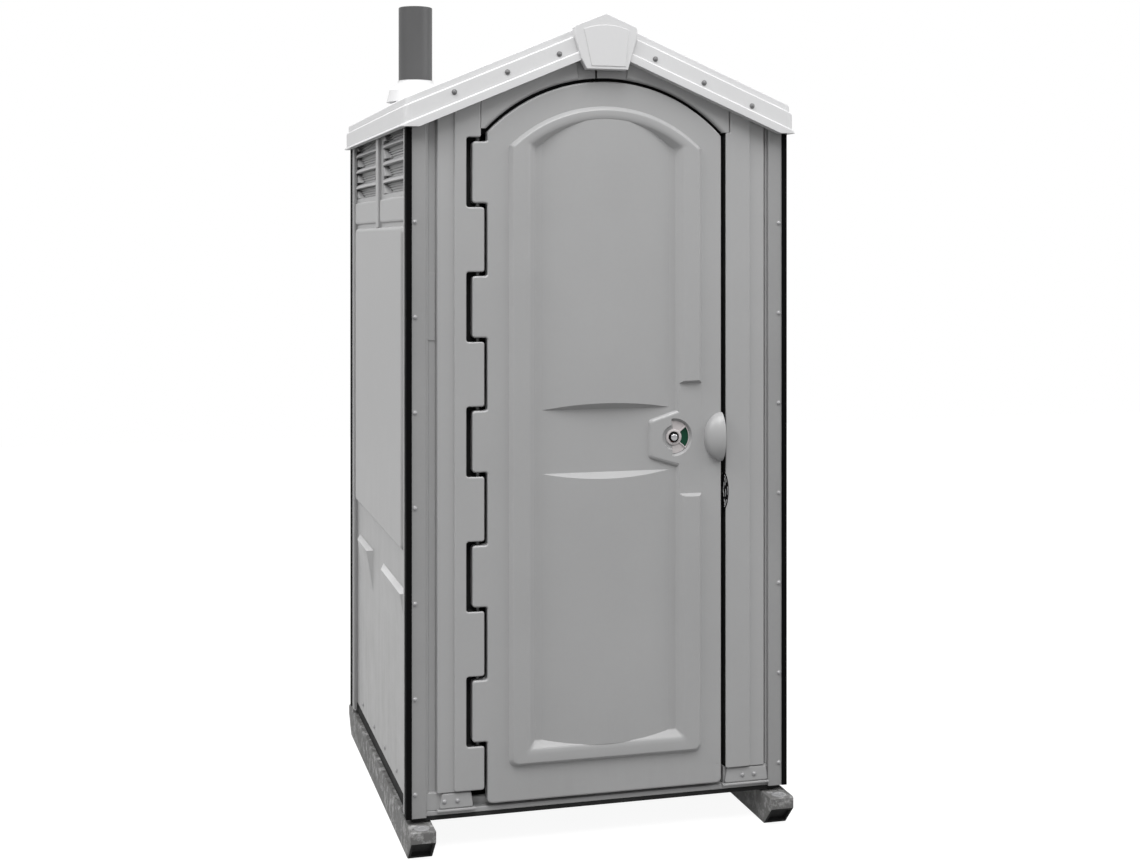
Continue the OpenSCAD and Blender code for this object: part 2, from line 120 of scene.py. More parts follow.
class CabinSizes(bpy.types.PropertyGroup):
    """Sizes of the walls, corners and base."""

    panel_rise: bpy.props.FloatProperty(
        name="Panel rise", description="How far the pressed panels stand out", default=0.0095, unit="LENGTH"
    )
    corner_round: bpy.props.FloatProperty(
        name="Corner rounding", description="Rounding of folded edges", default=0.004, unit="LENGTH"
    )
    blade_pitch: bpy.props.FloatProperty(
        name="Blade pitch", description="Distance from one vent blade to the next", default=0.0525,
        unit="LENGTH"
    )
    blade_count: bpy.props.IntProperty(name="Blades", description="Blades in one vent", default=3)
    skid_reach: bpy.props.FloatProperty(
        name="Runner nose", description="How far a runner's nose reaches past the cabin", default=0.057,
        unit="LENGTH"
    )
    skid_nose: bpy.props.FloatProperty(
        name="Nose height", description="Height of the upright face at a runner's nose", default=0.032,
        unit="LENGTH"
    )


class DoorSizes(bpy.types.PropertyGroup):
    """Sizes of the leaf, its moulding and the frame around it."""

    hinge_reach: bpy.props.FloatProperty(
        name="Hinge reach", description="Distance of the hinge axis from the leaf", default=0.025,
        unit="LENGTH"
    )
    finger_height: bpy.props.FloatProperty(
        name="Finger height", description="Height of a hinge finger on the leaf", default=0.170, unit="LENGTH"
    )
    finger_pitch: bpy.props.FloatProperty(
        name="Finger pitch", description="Distance from one leaf finger to the next", default=0.370,
        unit="LENGTH"
    )
    finger_top: bpy.props.FloatProperty(
        name="Top finger", description="Height of the middle of the top finger", default=1.864, unit="LENGTH"
    )
    finger_count: bpy.props.IntProperty(name="Fingers", description="Hinge fingers on the leaf", default=5)
    finger_gap: bpy.props.FloatProperty(
        name="Finger gap", description="Gap between a leaf finger and a post finger", default=0.011,
        unit="LENGTH"
    )
    arch_radius: bpy.props.FloatProperty(
        name="Arch radius", description="Radius of the arch on top of the leaf", default=0.470, unit="LENGTH"
    )
    arch_gap: bpy.props.FloatProperty(
        name="Arch gap", description="Gap between the leaf and the header", default=0.009, unit="LENGTH"
    )
    edge_round: bpy.props.FloatProperty(
        name="Edge rounding", description="Rounding of the leaf's front edges", default=0.006, unit="LENGTH"
    )
    mould_inset: bpy.props.FloatProperty(
        name="Moulding inset", description="Distance of the moulding from the leaf's edge", default=0.060,
        unit="LENGTH"
    )
    crown: bpy.props.FloatProperty(
        name="Crown", description="How far the middle of a panel stands over its sides", default=0.019,
        unit="LENGTH"
    )


class RoofSizes(bpy.types.PropertyGroup):
    """Sizes of the roof shell and its gable bands."""

    pitch: bpy.props.FloatProperty(
        name="Pitch", description="Pitch of the two slopes", default=math.radians(23), subtype="ANGLE"
    )
    peak: bpy.props.FloatProperty(
        name="Peak", description="Height of the slopes' peak", default=2.302, unit="LENGTH"
    )
    band: bpy.props.FloatProperty(
        name="Gable band", description="Upright height of the gable band", default=0.095, unit="LENGTH"
    )
    sheet: bpy.props.FloatProperty(
        name="Sheet", description="Thickness of the roof sheet", default=0.0065, unit="LENGTH"
    )
    cap_half: bpy.props.FloatProperty(
        name="Cap half width", description="Half width of the ridge cap", default=0.091, unit="LENGTH"
    )


class FinishColours(bpy.types.PropertyGroup):
    """Colours of the plastics and the metal."""

    body: bpy.props.FloatVectorProperty(
        name="Body", description="Moulded grey plastic", default=(0.345, 0.345, 0.347), subtype="COLOR"
    )
    roof: bpy.props.FloatVectorProperty(
        name="Roof", description="Moulded white plastic", default=(0.60, 0.60, 0.605), subtype="COLOR"
    )
    trim: bpy.props.FloatVectorProperty(
        name="Trim", description="Black corner trims", default=(0.004, 0.004, 0.0042), subtype="COLOR"
    )
    pipe: bpy.props.FloatVectorProperty(
        name="Pipe", description="Dark grey vent pipe", default=(0.071, 0.071, 0.072), subtype="COLOR"
    )
    runner: bpy.props.FloatVectorProperty(
        name="Runners", description="Scuffed grey runners", default=(0.13, 0.13, 0.13), subtype="COLOR"
    )
    free: bpy.props.FloatVectorProperty(
        name="Free", description="Dial colour of a free cabin", default=(0.006, 0.050, 0.027), subtype="COLOR"
    )
    taken: bpy.props.FloatVectorProperty(
        name="Taken", description="Dial colour of a locked cabin", default=(0.32, 0.015, 0.012),
        subtype="COLOR"
    )


# ---------------------------------------------------------------- shapes


def facing(side, depth):
    """Stands a drawing upright on one side of the cabin, at a distance from the cabin's middle."""
    out = Vector({"front": (0, -1, 0), "back": (0, 1, 0), "right": (1, 0, 0)}[side])
    up = Vector((0, 0, 1))
    right = up.cross(out)
    turn = Matrix((right, up, out)).transposed().to_4x4()
    return Matrix.Translation(out * depth) @ turn


def reordered(order, shift=0.0):
    """Takes each new axis from the old axis that order names, and shifts along the first."""
    rows = [[float(old == name) for old in "xyz"] + [0.0] for name in order]
    rows[0][3] = shift
    return Matrix((*rows, (0, 0, 0, 1)))


ON_FRONT = facing("front", HALF_D)
# Stands a section of the roof, drawn across the cabin, upright along the ridge
ALONG_RIDGE = Matrix(((1, 0, 0, 0), (0, 0, -1, 0), (0, 1, 0, 0), (0, 0, 0, 1)))


def rounded(corners, steps=4):
    """Outline through corners (x, y, radius), each turned into an arc of its radius."""
    points = []
    count = len(corners)
    for i, (x, y, radius) in enumerate(corners):
        here = Vector((x, y))
        before = Vector(corners[i - 1][:2]) - here
        after = Vector(corners[(i + 1) % count][:2]) - here
        turn = before.angle(after) if before.length and after.length else math.pi
        if radius <= 0 or turn > math.pi - 0.02:
            points.append((x, y))
            continue
        reach = min(radius / math.tan(turn / 2), before.length * 0.49, after.length * 0.49)
        arc_r = reach * math.tan(turn / 2)
        centre = here + (before.normalized() + after.normalized()).normalized() * (arc_r / math.sin(turn / 2))
        start = here + before.normalized() * reach - centre
        sweep = start.angle_signed(here + after.normalized() * reach - centre)
        for k in range(steps + 1):
            points.append(tuple(centre + Matrix.Rotation(-sweep * k / steps, 2) @ start))
    return points


def arc(cx, cy, radius, start, end, steps):
    """Points along an arc, its angles in degrees."""
    angles = [math.radians(start + (end - start) * k / steps) for k in range(steps + 1)]
    return [(cx + radius * math.cos(a), cy + radius * math.sin(a)) for a in angles]


def only(geom, kind):
    """The vertices or the edges among mixed geometry."""
    return [g for g in geom if isinstance(g, kind)]


def thickened(bm, rise):
    """Draws a flat mesh out into a closed solid."""
    grown = bmesh.ops.extrude_face_region(bm, geom=bm.faces[:])["geom"]
    bmesh.ops.translate(bm, verts=only(grown, bmesh.types.BMVert), vec=(0, 0, rise))
    bmesh.ops.recalc_face_normals(bm, faces=bm.faces[:])
    return bm


def slab(points, low, high):
    """Closed solid over an outline, from one depth to another."""
    bm = bmesh.new()
    bm.faces.new([bm.verts.new((x, y, low)) for x, y in points])
    return thickened(bm, high - low)


def box(x0, x1, y0, y1, low, high):
    """A block between two corners, as a slab over a rectangle."""
    return slab([(x0, y0), (x1, y0), (x1, y1), (x0, y1)], low, high)


def soften(bm, test, width, segments=3):
    """Rounds the edges that pass a test."""
    edges = [e for e in bm.edges if test(e)]
    bmesh.ops.bevel(
        bm,
        geom=edges,
        offset=width,
        offset_type="OFFSET",
        segments=segments,
        profile=0.5,
        affect="EDGES",
        clamp_overlap=True,
        material=-1,
    )
    return bm


def at_depth(depth):
    """Test for the edges that lie at one depth of a drawing."""
    return lambda e: all(abs(v.co.z - depth) < TINY for v in e.verts)


def bisect(bm, point, normal, clear=True):
    """Cuts at a plane, clears what lies past it unless told not to, and returns the cut's edges."""
    geom = bm.verts[:] + bm.edges[:] + bm.faces[:]
    cut = bmesh.ops.bisect_plane(bm, geom=geom, plane_co=point, plane_no=normal, clear_outer=clear)
    return only(cut["geom_cut"], bmesh.types.BMEdge)


def slice_off(bm, point, normal):
    """Cuts away what lies past a plane and closes the cut."""
    edges = bisect(bm, point, normal)
    if edges:
        bmesh.ops.holes_fill(bm, edges=edges, sides=0)
    return bm


def linked(bm, name="tool"):
    """An object in the scene from a bmesh."""
    mesh = bpy.data.meshes.new(name)
    bm.to_mesh(mesh)
    bm.free()
    obj = bpy.data.objects.new(name, mesh)
    bpy.context.collection.objects.link(obj)
    return obj


def combined(base, tools, operation="DIFFERENCE"):
    """The base solid cut by, or joined or crossed with, each tool in turn."""
    target = linked(base)
    others = [linked(tool) for tool in tools]
    for other in others:
        change = target.modifiers.new("change", "BOOLEAN")
        change.operation = operation
        change.solver = "EXACT"
        change.object = other
    bpy.context.view_layer.update()
    shape = target.evaluated_get(bpy.context.evaluated_depsgraph_get())
    bm = bmesh.new()
    bm.from_mesh(shape.to_mesh())
    for obj in [target, *others]:
        bpy.data.meshes.remove(obj.data)
    return bm


def joined(*parts):
    """Several closed solids as one mesh."""
    whole = bmesh.new()
    for part in parts:
        mesh = bpy.data.meshes.new("part")
        part.to_mesh(mesh)
        part.free()
        whole.from_mesh(mesh)
        bpy.data.meshes.remove(mesh)
    return whole


def placed(bm, matrix):
    """The solid moved or turned by a matrix, its faces still outwards."""
    bmesh.ops.transform(bm, matrix=matrix, verts=bm.verts[:])
    if matrix.determinant() < 0:
        bmesh.ops.reverse_faces(bm, faces=bm.faces[:])
    return bm


def mirrored(bm, axis):
    """The solid mirrored to the other side of the cabin."""
    return placed(bm, Matrix.Scale(-1, 4, Vector((1, 0, 0) if axis == "x" else (0, 1, 0))))


def piece(bm, name, body, finishes, nodes=()):
    """Turns a solid into a finished piece that rides on a body and stands for the nodes."""
    bmesh.ops.remove_doubles(bm, verts=bm.verts[:], dist=TINY)
    bmesh.ops.recalc_face_normals(bm, faces=bm.faces[:])
    for face in bm.faces:
        face.smooth = True
    for edge in bm.edges:
        edge.smooth = len(edge.link_faces) != 2 or edge.calc_face_angle(0) < SHARP
    obj = linked(bm, name)
    for finish in finishes:
        obj.data.materials.append(finished(finish))
    shade = obj.modifiers.new("shade", "WEIGHTED_NORMAL")
    shade.keep_sharp = True
    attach(obj, body)
    if nodes:
        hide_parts(*nodes)


def lathe(profile, centre, axis, steps=32):
    """A turned solid: a profile of (radius, height) spun about an axis through a centre."""
    bm = bmesh.new()
    verts = [bm.verts.new((r, 0, h)) for r, h in profile]
    edges = [bm.edges.new(pair) for pair in zip(verts, verts[1:])]
    bmesh.ops.spin(
        bm,
        geom=verts + edges,
        cent=(0, 0, 0),
        axis=(0, 0, 1),
        angle=math.tau,
        steps=steps,
        use_merge=True,
    )
    bmesh.ops.remove_doubles(bm, verts=bm.verts[:], dist=TINY / 10)
    bmesh.ops.recalc_face_normals(bm, faces=bm.faces[:])
    turn = Vector((0, 0, 1)).rotation_difference(Vector(axis)).to_matrix().to_4x4()
    return placed(bm, Matrix.Translation(centre) @ turn)


# ---------------------------------------------------------------- finishes


class Tree:
    """Adds and joins nodes in a node tree."""

    def __init__(self, tree):
        self.tree = tree

    def add(self, kind, links=None, **values):
        """A node with its settings, and a source or a constant for each socket that links names."""
        node = self.tree.nodes.new(kind)
        for name, value in values.items():
            setattr(node, name, value)
        for socket, source in (links or {}).items():
            target = node.inputs[socket]
            if isinstance(source, bpy.types.NodeSocket):
                self.tree.links.new(source, target)
            else:
                target.default_value = source
        return node

    def maths(self, operation, *values, clamp=False):
        """The result of a maths node."""
        node = self.add("ShaderNodeMath", dict(enumerate(values)), operation=operation, use_clamp=clamp)
        return node.outputs[0]

    def noise(self, place, scale, detail, roughness=0.5):
        """The value of a noise texture."""
        links = {"Vector": place, "Scale": scale, "Detail": detail, "Roughness": roughness}
        return self.add("ShaderNodeTexNoise", links).outputs["Fac"]

    def ranged(self, value, low, high, to_low=0.0, to_high=1.0, kind="LINEAR"):
        """A value carried from one range to another."""
        links = {"Value": value, "From Min": low, "From Max": high, "To Min": to_low, "To Max": to_high}
        return self.add("ShaderNodeMapRange", links, interpolation_type=kind).outputs["Result"]

    def blend(self, share, first, second):
        """A mix of two colours."""
        return self.add("ShaderNodeMix", {0: share, 6: first, 7: second}, data_type="RGBA").outputs[2]


def group(name, inputs, outputs, fill):
    """The shader node group of that name, made and filled when it is first asked for."""
    found = bpy.data.node_groups.get(name)
    if found:
        return found
    tree = bpy.data.node_groups.new(name, "ShaderNodeTree")
    for label, kind, default in inputs:
        socket = tree.interface.new_socket(label, in_out="INPUT", socket_type=f"NodeSocket{kind}")
        if default is not None:
            socket.default_value = default
    for label, kind in outputs:
        tree.interface.new_socket(label, in_out="OUTPUT", socket_type=f"NodeSocket{kind}")
    made = Tree(tree)
    source = made.add("NodeGroupInput").outputs
    made.add("NodeGroupOutput", fill(made, source))
    return tree


def tone_drift():
    """Slow unevenness of a moulded plastic's tone and gloss."""

    def fill(made, source):
        place = source["Vector"]
        slow = made.noise(place, source["Scale"], 4.0, 0.55)
        fine = made.noise(place, 90.0, 3.0, 0.6)
        mix = made.maths("MULTIPLY_ADD", fine, 0.25, slow)
        low = made.maths("SUBTRACT", 1.0, source["Drift"])
        high = made.maths("ADD", 1.0, source["Drift"])
        level = made.ranged(mix, 0.40, 0.85, low, high)
        tone = made.add("ShaderNodeVectorMath", {0: source["Color"], "Scale": level}, operation="SCALE")
        gloss = made.maths("MULTIPLY", source["Roughness"], level)
        return {"Color": tone.outputs["Vector"], "Roughness": gloss}

    inputs = [("Vector", "Vector", None), ("Color", "Color", None), ("Drift", "Float", 0.05)]
    inputs += [("Scale", "Float", 3.0), ("Roughness", "Float", 0.5)]
    return group("Tone drift", inputs, [("Color", "Color"), ("Roughness", "Float")], fill)


def settled_dirt():
    """Dirt that gathers low on a piece, with streaks that run down it."""

    def fill(made, source):
        place = source["Vector"]
        height = made.add("ShaderNodeSeparateXYZ", {"Vector": place}).outputs["Z"]
        low = made.ranged(height, 0.05, source["Reach"], 1.0, 0.0, "SMOOTHSTEP")
        stretch = made.add("ShaderNodeMapping", {"Vector": place, "Scale": (26.0, 26.0, 2.2)})
        streak = made.noise(stretch.outputs[0], 1.0, 5.0, 0.6)
        patch = made.noise(place, 9.0, 6.0, 0.65)
        both = made.ranged(made.maths("MULTIPLY", streak, patch), 0.08, 0.56)
        mask = made.maths("MULTIPLY", made.maths("MULTIPLY", low, both), source["Amount"], clamp=True)
        return {"Color": made.blend(mask, source["Color"], source["Dirt"]), "Mask": mask}

    inputs = [("Vector", "Vector", None), ("Color", "Color", None),
              ("Dirt", "Color", (0.07, 0.065, 0.055, 1.0))]
    inputs += [("Reach", "Float", 0.5), ("Amount", "Float", 0.4)]
    return group("Settled dirt", inputs, [("Color", "Color"), ("Mask", "Float")], fill)


def scuffs_on():
    """Pale scrapes and dark rubs on a worn plastic."""

    def fill(made, source):
        rough = made.noise(source["Vector"], source["Scale"], 9.0, 0.72)
        amount = made.maths("MULTIPLY", made.ranged(rough, 0.50, 0.68), source["Amount"])
        return {"Color": made.blend(amount, source["Color"], source["Scrape"]), "Mask": amount}

    inputs = [("Vector", "Vector", None), ("Color", "Color", None), ("Scrape", "Color", (0.5, 0.5, 0.5, 1.0))]
    inputs += [("Scale", "Float", 14.0), ("Amount", "Float", 0.5)]
    return group("Scuffs", inputs, [("Color", "Color"), ("Mask", "Float")], fill)


def moulded_grain():
    """Fine moulded grain over a slow waviness, as a height."""

    def fill(made, source):
        fine = made.noise(source["Vector"], source["Scale"], 2.0)
        slow = made.noise(source["Vector"], 5.0, 1.0)
        grain = made.maths("MULTIPLY", fine, source["Grain"])
        return {"Height": made.maths("MULTIPLY_ADD", slow, source["Wave"], grain)}

    inputs = [("Vector", "Vector", None), ("Scale", "Float", 700.0), ("Grain", "Float", 0.2)]
    return group("Moulded grain", inputs + [("Wave", "Float", 1.0)], [("Height", "Float")], fill)


def plastic(
    name,
    colour,
    roughness,
    drift=0.05,
    dirt=0.0,
    reach=0.6,
    scuffs=0.0,
    scrape=0.5,
    scuff_scale=14.0,
    grain=0.2,
    bump=0.1,
    gloss=0.5,
):
    """A moulded plastic with drifting tone, settled dirt, scuffs and grain."""
    material = bpy.data.materials.new(name)
    material.use_nodes = True
    material.node_tree.nodes.clear()
    made = Tree(material.node_tree)
    place = made.add("ShaderNodeTexCoord").outputs["Object"]

    def layer(tree, **sockets):
        return made.add("ShaderNodeGroup", {"Vector": place, **sockets}, node_tree=tree).outputs

    tone = layer(tone_drift(), Color=(*colour, 1.0), Drift=drift, Roughness=roughness)
    result = tone["Color"]
    if scuffs:
        pale = (scrape, scrape, scrape, 1.0)
        result = layer(scuffs_on(), Color=result, Scrape=pale, Amount=scuffs, Scale=scuff_scale)["Color"]
    if dirt:
        result = layer(settled_dirt(), Color=result, Reach=reach, Amount=dirt)["Color"]
    height = layer(moulded_grain(), Grain=grain)["Height"]
    relief = made.add("ShaderNodeBump", {"Height": height, "Strength": bump, "Distance": 0.002})
    look = {"Base Color": result, "Roughness": tone["Roughness"], "Normal": relief.outputs[0]}
    look["Specular IOR Level"] = gloss
    shader = made.add("ShaderNodeBsdfPrincipled", look)
    made.add("ShaderNodeOutputMaterial", {"Surface": shader.outputs[0]})
    return material


def metal(name, colour, roughness):
    """A bright metal with fine wear."""
    material = plastic(name, colour, roughness, drift=0.12, scuffs=0.15, scrape=0.75, grain=0.3, bump=0.08)
    shader = next(n for n in material.node_tree.nodes if n.type == "BSDF_PRINCIPLED")
    shader.inputs["Metallic"].default_value = 1.0
    return material


def finished(name):
    """The finish of that name, made when it is first asked for."""
    found = bpy.data.materials.get(name)
    if found:
        return found
    hue = bpy.context.scene.finish_colours
    makers = {
        "body": lambda: plastic(name, hue.body, 0.36, drift=0.03, dirt=0.12, reach=0.45),
        # The body grey scaled by 0.94: a shaded copy of the body tuned to the walls' lighting, painted shade;
        # the dirt that settles low and streaks down is real.
        "wall": lambda: plastic(name, [c * 0.94 for c in hue.body], 0.40, drift=0.06, dirt=0.62, reach=1.3),
        # A lighter copy of the body grey: a painted highlight on the up-facing tops of the side walls'
        # pressed ledges.
        "painted_highlight": lambda: plastic(name, [c * 1.45 for c in hue.body], 0.45, drift=0.2),
        # The body grey darkened to 0.77: painted shade for the corner flanges' darker look, with real dirt
        # low down.
        "flange": lambda: plastic(name, [c * 0.77 for c in hue.body], 0.42, drift=0.06, dirt=0.15, reach=0.5),
        "roof": lambda: plastic(name, hue.roof, 0.45, drift=0.02),
        "trim": lambda: plastic(name, hue.trim, 0.62, drift=0.25, dirt=0.05, reach=0.4, gloss=0.02),
        "pipe": lambda: plastic(name, hue.pipe, 0.42, drift=0.05, gloss=0.3),
        "runner": lambda: plastic(
            name,
            hue.runner,
            0.7,
            drift=0.2,
            dirt=0.6,
            reach=0.35,
            scuffs=0.95,
            scrape=0.55,
            scuff_scale=30.0,
            grain=1.0,
            bump=0.6,
        ),
        "plate": lambda: plastic(name, (0.50, 0.47, 0.47), 0.4, drift=0.04),
        # Near-black metal chosen so the hinge gaps read dark: painted shade on the rod.
        "rod": lambda: metal(name, (0.05, 0.05, 0.05), 0.5),
        "chrome": lambda: metal(name, (0.34, 0.34, 0.35), 0.22),
        "free": lambda: plastic(name, hue.free, 0.55, drift=0.1, gloss=0.15),
        "taken": lambda: plastic(name, hue.taken, 0.55, drift=0.1, gloss=0.15),
        "rivet": lambda: plastic(name, (0.26, 0.26, 0.265), 0.3, drift=0.15, gloss=0.8),
        "stud": lambda: plastic(name, (0.15, 0.15, 0.152), 0.4, drift=0.15, gloss=0.4),
        # Near-black plastic that paints shade: the floor pan and the strip under the sill as the dark line
        # below it, the runners' down-facing faces and hollows, and the faces deep in the door's gaps.
        "pan": lambda: plastic(
            name, (0.025, 0.025, 0.025), 0.7, drift=0.2, scuffs=0.4, scrape=0.06, grain=0.6, gloss=0.04
        ),
    }
    return makers[name]()


# ---------------------------------------------------------------- base


def gable(x, drop=0.0):
    """Height of the roof's slope at a distance from the middle, less a drop."""
    roof = bpy.context.scene.roof_sizes
    return roof.peak - math.tan(roof.pitch) * abs(x) - drop


def under_roof(bm):
    """Cuts a solid off below the roof sheet."""
    roof = bpy.context.scene.roof_sizes
    top = gable(0, roof.sheet + TINY)
    for side in (-1, 1):
        slice_off(bm, (0, 0, top), (side * math.sin(roof.pitch), 0, math.cos(roof.pitch)))
    return bm


def runner(side):
    """One hollow runner with a slotted nose at each end and cross ribs on its outer strip."""
    sizes = bpy.context.scene.cabin_sizes
    sheet, tread = 0.010, 0.0015
    nose, top = SKID_HI.y, SKID_HI.z - tread
    outline = [
        (-HALF_D, 0, 0.006), (HALF_D, 0, 0.006), (nose, top - sizes.skid_nose, 0.005), (nose, top, 0.004),
        (-nose, top, 0.004), (-nose, top - sizes.skid_nose, 0.005),
    ]
    width = SKID_HI.x - SKID_LO.x
    shell = slab(rounded(outline, 3), 0, width)
    soften(shell, lambda e: abs(e.verts[0].co.z - e.verts[1].co.z) < TINY, 0.004)
    hollow = slab([(-HALF_D + 0.04, -0.01), (HALF_D - 0.04, -0.01), (nose - 2 * sheet, top - sizes.skid_nose),
                   (nose - 2 * sheet, top - sheet), (-nose + 2 * sheet, top - sheet),
                   (-nose + 2 * sheet, top - sizes.skid_nose)], sheet, width - sheet)
    foot, lip = Vector((HALF_D, 0)), Vector((nose, top - sizes.skid_nose))
    along = (lip - foot).normalized()
    inward = Vector((-along.y, along.x)) * sheet
    rim = [foot + along * sheet * 1.2 - inward, lip - along * sheet * 0.7 - inward]
    rim += [rim[1] + 2 * inward, rim[0] + 2 * inward]
    slot_low = slab([tuple(v) for v in rim], sheet * 0.8, width - sheet * 0.8)
    slot_back = placed(slot_low.copy(), Matrix.Scale(-1, 4, Vector((1, 0, 0))))
    shell = combined(shell, [hollow, slot_low, slot_back])
    placed(shell, reordered("zxy", SKID_LO.x))
    ribs = []
    pitch, rib = 0.052, 0.0025
    count = int((2 * HALF_D - 0.06) / pitch)
    for k in range(count + 1):
        y = (k - count / 2) * pitch
        bar = box(WALL_OUT - 0.010, SKID_HI.x - 0.004, y - rib, y + rib, top - 0.002, SKID_HI.z)
        ribs.append(soften(bar, at_depth(SKID_HI.z), 0.001, 2))
    ribs.append(box(SKID_HI.x - 0.006, SKID_HI.x - 0.002, -nose + 0.004, nose - 0.004, top - 0.002,
                    SKID_HI.z))
    # Painted shade: the shell's down-facing faces and the faces deep inside its hollow take the near-black
    # second finish.
    for face in shell.faces:
        spot = face.calc_center_median()
        inside = SKID_LO.x + sheet * 0.7 < spot.x < SKID_HI.x - sheet * 0.7 and abs(spot.y) < nose - 0.004
        deep = (Vector((abs(spot.y), spot.z)) - foot).dot(inward.normalized())
        if face.normal.z < -0.3 and deep < 0.001 or inside and deep > 0.001 and spot.z < top - 0.002:
            face.material_index = 1
    whole = joined(shell, *ribs)
    if side < 0:
        mirrored(whole, "x")
    return whole


def runner_bolts(side):
    """The round bolts on the noses of a runner."""
    bolts = []
    middle = (SKID_LO.x + SKID_HI.x) / 2
    for end in (-1, 1):
        spot = (side * middle, end * (HALF_D + bpy.context.scene.cabin_sizes.skid_reach / 2),
                SKID_HI.z - 0.0016)
        ring = [(0.0, -0.002), (0.021, -0.002), (0.021, 0.001), (0.019, 0.0022), (0.0125, 0.0022),
                (0.0115, 0.0005),
                (0.0, 0.0005)]
        bolts.append(lathe(ring, spot, UP))
        head = [(0.0, 0.0), (0.009, 0.0), (0.009, 0.0012), (0.006, 0.0016), (0.0, 0.0016)]
        bolts.append(lathe(head, spot, UP, 6))
    return joined(*bolts)


def floor_pan():
    """The floor pan, with a folded rim and a raised tread field."""
    low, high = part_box("base_floor")
    pan = box(low.x, high.x, low.y, high.y, low.z, high.z - 0.002)
    soften(pan, at_depth(high.z - 0.002), 0.004)
    treads = []
    rows, columns, inset = 9, 8, 0.09
    stud = [(0.0, -0.001), (0.026, -0.001), (0.026, 0.001), (0.024, 0.002), (0.0, 0.002)]
    for i in range(columns):
        for j in range(rows):
            x = low.x + inset + i * (high.x - low.x - 2 * inset) / (columns - 1)
            y = low.y + inset + j * (high.y - low.y - 2 * inset) / (rows - 1)
            treads.append(lathe(stud, (x, y, high.z - 0.002), UP, 20))
    # A near-black strip under the sill's front: painted shade for the dark line below the sill.
    apron = box(low.x, high.x, SILL_LO.y + 0.001, low.y + 0.001, SILL_LO.z - 0.0115, SILL_LO.z - 0.0005)
    return joined(pan, apron, *treads)


def sill():
    """The sill under the door, with a block under each post."""
    front, back = SILL_LO.y, SILL_HI.y
    bar_top = SILL_LO.z + 0.014
    bar = box(SILL_LO.x, SILL_HI.x, front, back, SILL_LO.z, bar_top)
    soften(bar, lambda e: at_depth(bar_top)(e) or at_depth(SILL_LO.z)(e), 0.003)
    left_edge, right_edge = HINGE_EDGE, POST_LO.x + 0.025
    parts = [bar]
    for x0, x1 in ((-WALL_IN, left_edge), (right_edge, WALL_IN)):
        block = box(x0, x1, front, back, bar_top - 0.001, POST_FOOT)
        parts.append(soften(block, lambda e: abs(e.verts[0].co.y - front) < TINY, 0.004))
    guard = box(left_edge, right_edge, LEAF_BACK + 0.006, back, bar_top - 0.001, bar_top + 0.022)
    parts.append(soften(guard, at_depth(bar_top + 0.022), 0.004))
    for x0, x1, z0, z1 in ((-0.462, -0.367, 0.1215, 0.1655), (0.366, 0.500, 0.1215, 0.1655)):
        pad = slab(rounded([(x0, z0, 0.006), (x1, z0, 0.006), (x1 - 0.006, z1, 0.006),
                            (x0 + 0.006, z1, 0.006)]),
                   -0.02, -0.007)
        parts.append(placed(soften(pad, at_depth(-0.007), 0.005), ON_FRONT))
        shelf = slab([(x0 - 0.006, z0 - 0.006), (x1 + 0.006, z0 - 0.006), (x1 + 0.006, z0), (x0 - 0.006, z0)],
                     -0.02, -0.003)
        parts.append(placed(soften(shelf, at_depth(-0.003), 0.002, 2), ON_FRONT))
    return joined(*parts)


# ---------------------------------------------------------------- walls


def vent(y0, y1):
    """Blades, lips, cheeks and slats of one vent on the right wall, between two distances along it."""
    sizes = bpy.context.scene.cabin_sizes
    parts = []
    lip, cheek = 0.0115, 0.052
    pitch = sizes.blade_pitch
    low = VENT_LO.z + 0.037
    for k in range(-1, sizes.blade_count):
        z = low + k * pitch if k >= 0 else VENT_LO.z - 0.008
        # A blade runs from its lip up and inwards
        reach = lip if k >= 0 else 0.0005
        blade = [(reach, z - 0.004), (reach - 0.0005, z - 0.002), (reach * 0.3, z + 0.0065),
                 (-0.012, z + 0.014),
                 (-0.024, z + 0.016), (-0.024, z + 0.010), (-0.010, z + 0.002), (-0.012, z - 0.004)]
        bar = slab(rounded([(x, v, 0.002 if n < 3 else 0) for n, (x, v) in enumerate(blade)], 2), y0, y1)
        for n in range(1, BLADE_CUTS):
            bisect(bar, (0, 0, y0 + (y1 - y0) * n / BLADE_CUTS), UP, clear=False)
        for v in bar.verts:
            if v.co.x > 0:
                v.co.x *= 1 - 0.8 * abs(2 * (v.co.z - y0) / (y1 - y0) - 1) ** 4
        parts.append(bar)
        for n in range(3):
            depth = z + 0.021 + n * 0.0075
            slat = slab([(-0.015, depth), (-0.0095, depth), (-0.0095, depth + 0.002),
                         (-0.015, depth + 0.002)], y0, y1)
            parts.append(slat)
        plug = [(-0.017, z + 0.012), (-0.0145, z + 0.012), (-0.0145, z + pitch), (-0.017, z + pitch)]
        parts.append(slab(plug, y0, y1))
    whole = joined(*parts)
    # Drawn in (out, up) and run along the wall
    placed(whole, reordered("xzy", WALL_OUT))
    for k in range(-1, sizes.blade_count):
        z = low + k * pitch
        for end, inward in ((y0, 1), (y1, -1)):
            wedge = slab([(end, z + 0.018), (end + inward * cheek, z + 0.018), (end, z + pitch - 0.003)],
                         -0.0145, 0.0)
            for v in wedge.verts:
                if v.co.z < -0.01:
                    v.co.x = end + (v.co.x - end) * 2.0
            soften(wedge, at_depth(0.0), 0.002, 2)
            whole = joined(whole, placed(wedge, reordered("zxy", WALL_OUT - 0.0005)))
    return whole


